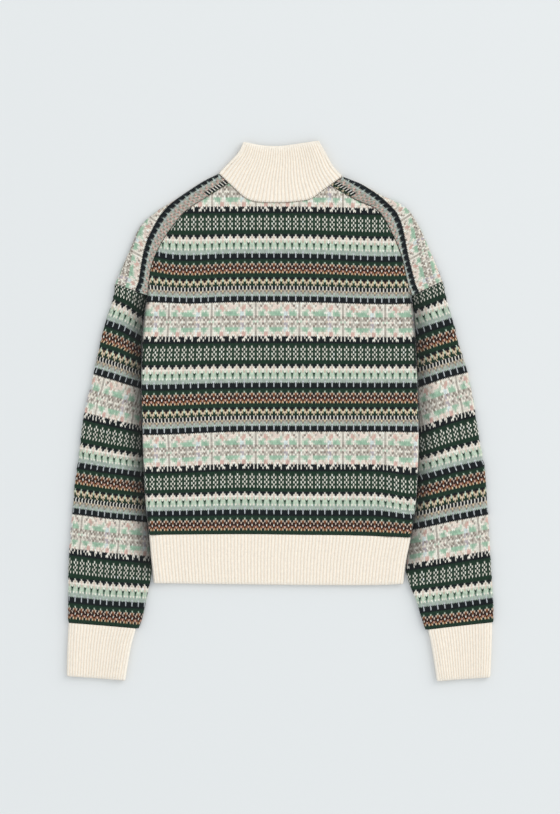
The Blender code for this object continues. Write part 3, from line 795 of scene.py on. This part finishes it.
# %% Rows of the sleeves
SLEEVE_STITCHES = ((-62, 46), (-57, 43))
SLEEVE_ROW_COUNT = 154
SLEEVE_WALE = (2.45, 2.72)  # mm for each stitch, left then right
SLEEVE_DROP = (  # row, mm that it lies lower than on the back at mid width: left, right
    (0, 142, 144), (37, 137, 144), (64, 132.5, 132.5), (93, 129.5, 125.5), (132, 112, 108.5),
    (155, 109.5, 106.5),
)
LOWEST_ROW = -4         # slanting rows reach this far under the cuff's seam
LOWEST_PITCH = 3.2      # mm for each of those rows
CUFF_ROWS = 10          # rows that bend to follow the cuff's seam
SLEEVE_SLANT = (  # up, rows added at the outer and the inner edge, left then right
    (-310, -2.0, 1.0, -2.6, 2.2), (-160, -2.2, 1.6, -3.0, 3.8), (-60, -2.6, 2.4, -3.2, 4.3),
    (40, -3.0, 3.0, -2.8, 3.5), (137, -2.8, 5.0, -2.6, 2.8),
)
HEAD_ROUND = 0.35       # the sleeve's edge at the armhole rounds down this much of a fold
SLEEVE_DIP = 0.30       # share of its height that a sleeve loses beside the body
SLEEVE_DIP_WIDE = 22.0
DIP_BOTTOM, DIP_RISE = -245, 50  # it starts at this height, softly over so many mm
LEAST_HEIGHT = 6.15     # two layers of cloth
AXIS_FROM_FOLD = ((18.7, 20.9), (18.6, 23.5))  # mm from the outermost point to a star's axis
AXIS_UP = (-173, 46)    # ... at these two heights
CREASE_SHADE = (0.56, 0.40)  # painted shade: share of the colour darkened in the crease beside the body, left then right
CREASE_WIDE = 18.0      # mm over which that fades
CREASED = (-262, 40, 205, 30)  # heights: from, soft over, to, soft over


def sleeve_edges(side):
    """A sleeve's outer fold and its edge beside the body."""
    line = body_side(side)[::-1]
    beside = line[line[:, 1] > LEAVES_BODY] + [(2 * side - 1) * SLEEVE_CLEAR, 0]
    rest = smooth([tuple(beside[-1])] + column_pair(SLEEVE_INNER_END, side))
    return smooth(column_pair(SLEEVE_OUTER, side)), np.vstack([beside, rest[1:]])


def sleeve_rows(side):
    """A sleeve's rows and their heights at mid width: the back's rows, let down."""
    rows, ups = table_line(BACK_ROWS)
    rows = np.append(LOWEST_ROW, rows)
    ups = np.append(ups[0] + LOWEST_ROW * LOWEST_PITCH, ups)
    drop = table_line(SLEEVE_DROP)
    return rows, ups - np.interp(rows, drop[0], drop[1 + side])


def sleeve_up(row, share, side):
    """Heights of rows at shares of the sleeve's width, 0 at the outer fold."""
    rows, ups = sleeve_rows(side)
    slant = table_line(SLEEVE_SLANT)
    lean = 2 * share - 1
    up = np.interp(row, rows, ups)
    for _ in range(5):  # the slant hangs on the height, and the height on the slant
        outer_add = np.interp(up, slant[0], slant[1 + 2 * side])
        inner_add = np.interp(up, slant[0], slant[2 + 2 * side])
        added = np.where(lean < 0, -lean * outer_add, lean * inner_add)
        up = np.interp(row - added, rows, ups)
    return up


# %% Lay the sleeves
def cuff_seam(side):
    """The sleeve's edge at the seam of the cuff."""
    outer_up, outer_across, inner_up, inner_across = CUFF[0][4 * side:4 * side + 4]
    return np.array([(outer_across, outer_up), (inner_across, inner_up)]) + [0, SEAM / 2]


def place_sleeve(wale, row, side):
    outwards = 2 * side - 1
    outer_line, inner_line = sleeve_edges(side)
    up = np.interp(row, *sleeve_rows(side))
    arc = wale * SLEEVE_WALE[side] + np.interp(up, AXIS_UP, AXIS_FROM_FOLD[side])
    half_turn = FOLD * math.pi / 2
    outer_turn = np.abs(arc) < half_turn
    angle = np.clip(arc / FOLD, -math.pi / 2, math.pi / 2)
    distance = np.where(outer_turn, FOLD * (1 - np.cos(angle)), FOLD + np.abs(arc) - half_turn)
    for _ in range(3):  # the width hangs on the height, so both settle together
        outer_edge, inner_edge = across_at(outer_line, up), across_at(inner_line, up)
        share = np.clip(distance / np.abs(outer_edge - inner_edge), 0, 1)
        up = sleeve_up(row, share, side)
    strayed = wander(row, SLEEVE_SEED + side)
    across = outer_edge + strayed - outwards * distance
    off_seam = up_at(cuff_seam(side), across) - sleeve_up(np.zeros_like(row), share, side)
    up = up + off_seam * np.clip(1 - row / CUFF_ROWS, 0, 1)
    head = [column_pair(SLEEVE_OUTER, side)[0], (BODY_SIDE[0][1 + side], BODY_SIDE[0][0])]
    top = up_at(np.array(head), across) - 2 * SEAM
    outside = up > top
    up = np.minimum(up, top)
    inner_edge = across_at(inner_line, up)
    outer_edge = across_at(outer_line, up) + strayed
    width = np.abs(outer_edge - inner_edge)
    folded = closed(up)
    shut = HEAD_ROUND + (1 - HEAD_ROUND) * folded
    inner_start = width - FOLD * shut
    seen, drop, lean, past = round_side(distance - inner_start, shut)
    outside |= past
    plan = np.where(distance > inner_start, inner_start + seen, distance)
    sides = [(np.maximum(plan - FOLD, 0), np.ones_like(up)),
             (np.maximum(inner_start - plan, 0), folded)]
    across = outer_edge - outwards * plan
    level = upper_height(across, up, SLEEVE_TOP, SLEEVE_FOLDS, sides, FOLD)
    beside = ease(1 - (width - plan) / SLEEVE_DIP_WIDE)
    dip = SLEEVE_DIP * beside * ease((up - DIP_BOTTOM) / DIP_RISE)
    level = np.maximum(level * (1 - dip), LEAST_HEIGHT)
    drop = drop * np.where(folded > 0.5, np.maximum(level - FOLD * (1 - dip), 0) / FOLD, 1.0)
    height = np.where(arc > 0, level - drop, drop)
    height = np.where(outer_turn, FOLD + FOLD * np.sin(angle), height)
    lean_across = np.where(outer_turn, outwards * np.cos(angle), -outwards * np.sin(lean))
    lean_up = np.where(outer_turn, np.sin(angle), np.where(arc > 0, np.cos(lean), -np.cos(lean)))
    return wall_points(across, up, height, stacked(lean_across, 0, lean_up), outside)


def crease_shade(outer, side):
    """Painted shade: how much colour stays on the upper layer beside the body, in the crease."""
    across, up, height = np.moveaxis(outer[1:, 1:], 2, 0)
    beside = np.abs(across - across_at(sleeve_edges(side)[1], up))
    lost = CREASE_SHADE[side] * np.exp(-(beside / CREASE_WIDE) ** 2)
    return (1 - lost * (between(up, *CREASED) * (height > WALL)))[..., None]


for side, name in enumerate(("sleeve_left", "sleeve_right")):
    knit(name, SLEEVE_STITCHES[side], SLEEVE_ROW_COUNT, place_sleeve,
         lambda stitch, row: body_chart((1 - 2 * side) * stitch, row), (side,), crease_shade)

# %% [markdown]
# ## The saddle straps
#
# A strap runs from the neck to the sleeve's head over the shoulder's fold. It is knitted
# sideways: its rows run along the strap, so the dark line of the chart follows the shoulder. A
# few points say where that line runs, and each column of stitches finds its own place on it.

# %% Rows of the straps
STRAP_STITCHES = 94
STRAP_FIRST_ROW = 34
STRAP_ROWS = 50
DARK_ROW = 42.7  # the middle of the dark line, as a row of the chart
DARK_LINE = (  # left across, left up, right across, right up: from the neck outwards
    (-98.5, 368.5, 103, 365.5), (-144.5, 339, 146, 338), (-177.5, 309, 173, 314),
    (-198, 274.5, 182, 301), (-205.5, 255, 189, 280.5), (-210, 236.5, 197, 241),
    (-215.5, 201.5, 208, 197),
)
DARK_STEPS = 60  # points of the smooth line between two of those
NECK_STATION = 0.0012  # the first column's share of the length, just clear of the collar's seam
STRAP_ROW_PITCH = (3.3, 2.7)  # at the neck and at the sleeve
DOTS_END = 14  # stitches from the neck to where the dotted rows go under the back's seam
FIRST_GREY_ROW = 38
STRAP_SMALL_ROWS = {38: "PSHG", 39: "HGSP", 40: "VGSG", 41: "GKKQ", 42: "QKKK", 43: "KKKK"}


def dark_from_seam(back, across_strap, side):
    """How far the dark line lies from the back's seam, on each column of the strap."""
    line = smooth(column_pair(DARK_LINE, side), DARK_STEPS)
    away = line[None] - back[:, None]
    beside = away[..., 0] * across_strap[:, None, 1] - away[..., 1] * across_strap[:, None, 0]
    nearest = line[np.abs(beside).argmin(axis=1)]
    return ((nearest - back) * across_strap).sum(axis=1)


def place_strap(wale, row, side):
    stations = np.clip((wale[0] + 0.5) / STRAP_STITCHES, NECK_STATION, 1)
    back, front = (along(sewn_line(column_pair(table, side), -SEAM / 2), stations)
                   for table in (BACK_STRAP_SEAM, FRONT_STRAP_SEAM))
    edge = along(smooth(column_pair(SHOULDER_FOLD, side)), stations)
    inward = rightwards(edge) * (2 * side - 1)
    start = edge + inward * FOLD
    wide, low_wide = (np.linalg.norm(start - line, axis=1) for line in (back, front))
    around = FOLD * math.pi
    pitch = STRAP_ROW_PITCH[0] + (STRAP_ROW_PITCH[1] - STRAP_ROW_PITCH[0]) * stations
    dark = dark_from_seam(back, units(start - back), side)
    distance = dark + (row + STRAP_FIRST_ROW - DARK_ROW) * pitch
    outside = (distance < 0) | (distance > wide + around + low_wide)
    distance = np.clip(distance, 0, wide + around + low_wide)
    on_top, under = distance < wide, distance > wide + around
    angle = math.pi / 2 - np.clip((distance - wide) / FOLD, 0, math.pi)

    def pick(top, low, turning):
        return np.where(on_top, top, np.where(under, low, turning))

    above = (np.minimum(distance, wide) / wide)[..., None]
    below = (np.clip(distance - wide - around, 0, None) / low_wide)[..., None]
    places = (back + (start - back) * above, start + (front - start) * below,
              edge + inward * (FOLD - FOLD * np.cos(angle))[..., None])
    across, up = (pick(*(place[..., k] for place in places)) for k in (0, 1))
    level = upper_height(across, up, BODY_TOP, (), [(np.maximum(wide - distance, 0), 1.0)], FOLD)
    height = pick(level, 0.0, FOLD + FOLD * np.sin(angle))
    lean = pick(0, 0, np.cos(angle))
    normal = stacked(-inward[:, 0] * lean, -inward[:, 1] * lean, pick(1.0, -1.0, np.sin(angle)))
    return wall_points(across, up, height, normal, outside)


# %% Lay the straps
def strap_chart(stitch, row):
    """The straps' yarns: grey rows and dark line, with the chart's dots at the neck end."""
    row = row + STRAP_FIRST_ROW
    grey_row = FIRST_GREY_ROW + (FIRST_GREY_ROW - row) % 2
    row = np.where((stitch > DOTS_END) & (row < FIRST_GREY_ROW), grey_row, row)
    yarns = CHART[(row - 1) % CHART_ROWS, stitch % REPEAT]
    for own_row, string in STRAP_SMALL_ROWS.items():
        letters = np.array([LETTERS.index(letter) for letter in string])
        yarns = np.where(row == own_row, letters[stitch % 4], yarns)
    return yarns


for side, name in enumerate(("shoulder_strap_left", "shoulder_strap_right")):
    knit(name, (0, STRAP_STITCHES), STRAP_ROWS, place_strap, strap_chart, (side,))

# %% [markdown]
# ## Ribbing
#
# The collar, cuffs and hem are knit one, purl one rib. The purl stitches sink back between the
# knit ones, so from outside only ridges of V stitches show, with a narrow shadow between them.
# Each rib gets eight columns of points: the valley, its two walls, and the V on the crest. The
# ridges stand a millimetre over the valleys and die away where the band folds round.

# %% The shape of one rib
RIB_RISE = 1.0
RIB_FADE = 8.0   # mm in from a fold over which the ribs grow to their full height
RIB = (  # share of the rib's width, rows up, mm below the crest
    (0.0, 0.0, 0.95), (0.11, 0.0, 0.85), (0.22, 0.2, 0.4), (0.36, 0.0, 0.0),
    (0.5, -0.25, 0.15), (0.64, 0.0, 0.0), (0.78, 0.2, 0.4), (0.89, 0.0, 0.85),
)
FOLD_RIBS = 3
UNDER_DEEP, FOLD_DEEP, SEAM_DEEP = 0.6, 0.7, 0.5  # share of a rib's depth under, round, at a seam


def rib_columns(count):
    """Shares across a stretch of ribs, a valley at both ends."""
    return repeated(RIB, count)[0] / count


def uneven_patch(bottom, top, left, right, shares):
    """A grid that fills four edges, with columns at the given shares."""
    u = np.asarray(shares)[None, :, None]
    v = np.linspace(0, 1, len(left))[:, None, None]
    ruled = (1 - v) * bottom[None] + v * top[None] + (1 - u) * left[:, None] + u * right[:, None]
    corners = ((1 - u) * (1 - v) * bottom[0] + u * (1 - v) * bottom[-1]
               + (1 - u) * v * top[0] + u * v * top[-1])
    return ruled - corners


# %% Stretches of a ribbed band: outer points, inner points, share of the ribs' depth
def flat_stretch(plan, outer_up, inner_up, deep):
    return *(stacked(plan[..., 0], plan[..., 1], up) for up in (outer_up, inner_up)), deep


def bent_stretch(edge, inward, fold, wall, angles, deep=FOLD_DEEP):
    """A stretch bent round an edge, at angles up (or down) from the edge's mid height."""
    found = []
    for radius in (fold, fold - wall):
        plan = edge[:, None] + inward[:, None] * (fold - radius * np.cos(angles))[:, None]
        found.append(stacked(plan[..., 0], plan[..., 1], fold + radius * np.sin(angles)))
    return *found, deep


def seam_stretch(edge, inward, sign):
    """A cuff's quarter turn at its seam: the upper layer's (1) or the lower layer's (-1)."""
    angles = sign * math.pi / 2 * rib_columns(1)
    stretch = bent_stretch(edge, inward, FOLD, WALL, angles, SEAM_DEEP)
    for points in stretch[:2]:
        points[..., 2] = FOLD + sign * np.maximum(sign * (points[..., 2] - FOLD), SEAM / 2)
    return stretch


def turned(stretch):
    """The same stretch, its columns the other way round."""
    outer, inner, deep = stretch
    return outer[:, ::-1], inner[:, ::-1], deep


HALF_TURN = math.pi / 2 - math.pi * rib_columns(FOLD_RIBS)

# %% The ribs' upper side, and their free edge
BAND_LINES = 30
CAST_OFF = (0.85, 0.35)                   # the ribs' height in the last rows of hem and cuffs
COLLAR_CAST_OFF = (0.9, 0.7, 0.4, 0.15)
CAST_OFF_SINK, COLLAR_SINK = 1.0, 1.2     # mm that the free edge rounds down


def falling(last):
    """1 along a band, falling over its last rows to the free edge."""
    share = np.ones(BAND_LINES)
    share[-len(last):] = last
    return share


def upper_stretch(plan, edges, level, fold, wall, fade, sink):
    """An upper ribbed layer: its crests stand over cloth that swells at the folded sides."""
    inboard = [np.maximum(np.linalg.norm(plan - edge[:, None], axis=2) - fold, 0) for edge in edges]
    sides = [(distance, 1.0) for distance in inboard]
    height = upper_height(plan[..., 0], plan[..., 1], level, (), sides, fold)
    rise = RIB_RISE * ease(inboard[0] / RIB_FADE) * ease(inboard[1] / RIB_FADE)
    crest = height + rise * fade[:, None]
    crest[-1] -= sink
    return flat_stretch(plan, crest, height - wall, 1.0)


# %% Turn stretches into a ribbed piece
LINKING_SHADE = 0.78  # the row of linking stitches that joins the collar
UNEVEN_RIB = 0.04     # mm
UNEVEN_RIB_SHADE = 0.012
VALLEY_DEPTH = 0.9    # mm below the crest where the valleys' painted shade is full


def ribbed_piece(name, stretches, rows_sign, fade, linked=False):
    """A ribbed piece, from stretches that each start on the last column of the one before."""
    parts, start = [], 0
    for outer, inner, deep in stretches:
        ribs = outer.shape[1] // len(RIB)
        _, rise, depth = repeated(RIB, ribs)
        wale = start + rib_columns(ribs) * ribs
        skip = 1 if parts else 0
        parts.append((outer[:, skip:], inner[:, skip:], rise[skip:], (depth * deep)[skip:],
                      wale[skip:]))
        start += ribs
    outer, inner = (np.concatenate([part[k] for part in parts], axis=1) for k in (0, 1))
    rise, depth, wale = (np.concatenate([part[k] for part in parts]) for k in (2, 3, 4))
    for grid in (outer, inner):
        step = np.gradient(grid, axis=0)
        step[0] = step[-1] = 0
        grid += step * (rise * rows_sign)[None, :, None]
    depth = depth * fade[:, None]
    depth = depth + np.abs(rng.normal(0, UNEVEN_RIB, depth.shape))
    shade = 1 + rng.normal(0, UNEVEN_RIB_SHADE, np.subtract(depth.shape, 1))
    # painted shade: the deeper a face lies in a rib's valley, the darker its colour
    deep = np.clip((depth[:-1, :-1] + depth[1:, 1:]) / 2 / VALLEY_DEPTH, 0, 1)[..., None]
    colours = np.array(RIB_YARN) * shade[..., None] * (1 - deep * (1 - np.array(RIB_VALLEY_SHADE)))
    if linked:
        colours[0, 1::4] *= LINKING_SHADE  # two marks on each rib
    return knitted_piece(name, outer, inner, depth, np.zeros(depth.shape, bool),
                         np.clip(colours, 0, 1), wale - 0.5, len(RIB), rib_wool)


def round_the_body(upper, lows, edges, inward, fold, wall):
    """A band's stretches from front edge to front edge, folded round at both sides."""
    folds = [bent_stretch(edges[k], inward[k], fold, wall, HALF_TURN) for k in (0, 1)]
    left, right = (flat_stretch(low, 0.0, wall, UNDER_DEEP) for low in lows)
    return [left, turned(folds[0]), upper, folds[1], turned(right)]


# %% [markdown]
# ## The hem
#
# The hem's band is one long strip, open at the centre front and folded round both sides of the
# body. It is cast off at the bottom, where the ribs die away over the last row.

# %% Lay the hem
HEM_RIBS = 75
HEM_UNDER_RIBS = 37  # on each side of the centre front


def centre_edge(side):
    """Where a band ends beside the centre front."""
    return CENTRE - (1 - 2 * side) * SEAM / 2


def hem_under(side, start):
    """The hem's lower layer on one side, from the centre front to the fold."""
    ups = [np.interp(centre_edge(side), *sewn_line(table, gap).T)
           for table, gap in ((HEM_SEAM, -SEAM / 2), (HEM_EDGE, 0.0))]
    centre_line = np.column_stack([np.full(BAND_LINES, centre_edge(side)),
                                   np.linspace(*ups, BAND_LINES)])
    shares = rib_columns(HEM_UNDER_RIBS)[None, :, None]
    return centre_line[:, None] + (start - centre_line)[:, None] * shares


def lay_hem():
    seam, bottom = sewn_line(HEM_SEAM, -SEAM / 2), smooth(HEM_EDGE)
    edges, inward, starts = [], [], []
    for side in (0, 1):
        up = np.linspace(seam[-side, 1], HEM_EDGE[-side][1], BAND_LINES)
        edges.append(np.column_stack([across_at(body_side(side), up), up]))
        inward.append(np.tile([1.0 - 2 * side, 0.0], (BAND_LINES, 1)))
        starts.append(edges[side] + inward[side] * FOLD)
    shares = rib_columns(HEM_RIBS)
    ends = []
    for k, line in ((0, seam), (-1, bottom)):
        across = starts[0][k, 0] + (starts[1][k, 0] - starts[0][k, 0]) * shares
        ends.append(np.column_stack([across, up_at(line, across)]))
    for side in (0, 1):
        starts[side][0, 1], starts[side][-1, 1] = (end[-side, 1] for end in ends)
        edges[side][:, 1] = starts[side][:, 1]
    plan = uneven_patch(*ends, *starts, shares)
    fade = falling(CAST_OFF)
    upper = upper_stretch(plan, edges, BAND_TOP, FOLD, WALL, fade, CAST_OFF_SINK)
    lows = [hem_under(side, edges[side] + inward[side] * FOLD) for side in (0, 1)]
    return ribbed_piece("hem_rib", round_the_body(upper, lows, edges, inward, FOLD, WALL), -1, fade)


lay_hem()

# %% [markdown]
# ## The cuffs
#
# Each cuff is a short ribbed tube, laid flat, with its seam beside the body like the sleeve's.

# %% Lay the cuffs
CUFF_RIBS = 20


def lay_cuff(name, side):
    rows = [row[4 * side:4 * side + 4] for row in CUFF]
    edge, inner = (along(smooth([(row[k + 1], row[k]) for row in rows]),
                         np.linspace(0, 1, BAND_LINES)) for k in (0, 2))
    outward = units(edge - inner)
    start, end = (line[:, None] for line in (inner + outward * FOLD, edge - outward * FOLD))
    across = rib_columns(CUFF_RIBS)[None, :, None]
    fade = falling(CAST_OFF)
    stretches = [
        seam_stretch(inner, outward, 1),
        upper_stretch(start + (end - start) * across, (edge, inner), BAND_TOP, FOLD, WALL, fade,
                      CAST_OFF_SINK),
        bent_stretch(edge, -outward, FOLD, WALL, HALF_TURN),
        flat_stretch(end + (start - end) * across, 0.0, WALL, UNDER_DEEP),
        turned(seam_stretch(inner, outward, -1)),
    ]
    return ribbed_piece(name, stretches, -1, fade)


for side, name in enumerate(("cuff_left", "cuff_right")):
    lay_cuff(name, side)

# %% [markdown]
# ## The collar
#
# The collar is a tall rib band, folded over on the inside, so its wall is thicker. Its ribs fan
# out from the narrow top to the neck seam. Laid flat, it folds round at both shoulders and its
# front lies under its back.

# %% Lay the collar
COLLAR_RIBS = 35
COLLAR_UNDER_RIBS = 18  # on each side of the centre front
BACK_NECK_STEPS, FRONT_NECK_STEPS = 60, 20


def neck_edge(corners, points, steps):
    """The collar's edge at the neck seam, through its own corners and the neck's points."""
    line = along(smooth(points), np.linspace(0, 1, steps))
    return moved(np.vstack([corners[:1], line, corners[1:]]), COLLAR_MIDDLE)


def collar_under(side, start):
    """The collar's lower layer on one side, from the centre front to the fold."""
    centre = centre_edge(side)
    points = FRONT_NECK[:3] if side == 0 else FRONT_NECK[:1:-1]
    shares = rib_columns(COLLAR_UNDER_RIBS)
    line = along(smooth(points), np.linspace(0, 1, FRONT_NECK_STEPS))
    base = np.vstack([column_pair(COLLAR_SIDE, side)[:1], line])[::-1]
    base = along(moved(base, COLLAR_MIDDLE), shares)
    points = COLLAR_FRONT_EDGE[2::-1] if side == 0 else COLLAR_FRONT_EDGE[2:]
    edge = along(smooth(points), shares)
    for line, end in ((base, start[0]), (edge, start[-1])):
        line[0, 0], line[-1] = centre, end
    middle = np.column_stack([np.full(BAND_LINES, centre),
                              np.linspace(base[0, 1], edge[0, 1], BAND_LINES)])
    return uneven_patch(base, edge, middle, start, shares)


def lay_collar():
    edges, inward, starts = [], [], []
    for side in (0, 1):
        edge = along(smooth(column_pair(COLLAR_SIDE, side)), np.linspace(0, 1, BAND_LINES))
        inward.append(rightwards(edge) * (1 - 2 * side))
        edge[0] += units(edge[1] - edge[0]) * SEAM
        edges.append(edge)
        starts.append(edge + inward[side] * COLLAR_FOLD)
    shares = rib_columns(COLLAR_RIBS)
    corners = [column_pair(COLLAR_SIDE, side)[0] for side in (0, 1)]
    base = along(neck_edge(corners, BACK_NECK, BACK_NECK_STEPS), shares)
    edge = along(smooth(COLLAR_TOP_EDGE), shares)
    base[0], base[-1] = starts[0][0], starts[1][0]
    edge[0], edge[-1] = starts[0][-1], starts[1][-1]
    fade = falling(COLLAR_CAST_OFF)
    upper = upper_stretch(uneven_patch(base, edge, *starts, shares), edges, COLLAR_TOP, COLLAR_FOLD,
                          COLLAR_WALL, fade, COLLAR_SINK)
    lows = [collar_under(side, starts[side]) for side in (0, 1)]
    stretches = round_the_body(upper, lows, edges, inward, COLLAR_FOLD, COLLAR_WALL)
    return ribbed_piece("collar", stretches, 1, fade, linked=True)


lay_collar()

# %% [markdown]
# ## Floor, light and camera
#
# The jacket lies on a plain pale floor. One large soft light stands to the upper right and a
# pale sky fills the shadows, so only faint shadows fall to the left and below. The camera looks
# straight down from far away.

# %% A plain pale floor
FLOOR_HALF = 6.0
FLOOR_UP = -0.0004  # just under the cloth


def pale_floor():
    mesh = bpy.data.meshes.new("pale_floor")
    corners = [(x * FLOOR_HALF, y * FLOOR_HALF, FLOOR_UP)
               for x, y in ((-1, -1), (1, -1), (1, 1), (-1, 1))]
    mesh.from_pydata(corners, [], [(0, 1, 2, 3)])
    material = bpy.data.materials.new("pale_floor")
    material.use_nodes = True
    shader = material.node_tree.nodes["Principled BSDF"]
    shader.inputs["Base Color"].default_value = (0.717, 0.725, 0.720, 1)
    shader.inputs["Roughness"].default_value = 0.9
    mesh.materials.append(material)
    add_object("pale_floor", mesh)


pale_floor()

# %% Soft studio light
LIGHT_PLACE = Vector((7.6, 5.0, 5.8))
light = bpy.data.lights.new("window_light", "AREA")
light.shape = "SQUARE"
light.size = 7.5
light.energy = 440.0
light.color = (1.0, 0.985, 0.96)
lamp = add_object("window_light", light)
lamp.location = LIGHT_PLACE
lamp.rotation_euler = (-LIGHT_PLACE).to_track_quat("-Z", "Y").to_euler()  # towards the jacket
world = bpy.data.worlds.new("pale_sky")
world.use_nodes = True
sky = world.node_tree.nodes["Background"]
sky.inputs["Color"].default_value = (0.93, 0.97, 1.0, 1)
sky.inputs["Strength"].default_value = 0.985
bpy.context.scene.world = world
bpy.context.scene.view_settings.view_transform = "Standard"

# %% The camera looks straight down
PHOTO_TALL = 814  # pixels
MM_FOR_EACH_PIXEL = 1.55
CAMERA_HEIGHT = 3.4
VIEW_MIDDLE = (-0.0002, 0.0061)
camera = bpy.data.cameras.new("camera")
camera.sensor_width = 36.0
view_tall = PHOTO_TALL * MM_FOR_EACH_PIXEL * MM
camera.lens = camera.sensor_width * (CAMERA_HEIGHT - BODY_TOP * MM) / view_tall
camera_object = add_object("camera", camera)
camera_object.location = (*VIEW_MIDDLE, CAMERA_HEIGHT)
bpy.context.scene.camera = camera_object
print("lens", round(camera.lens, 2), "mm")
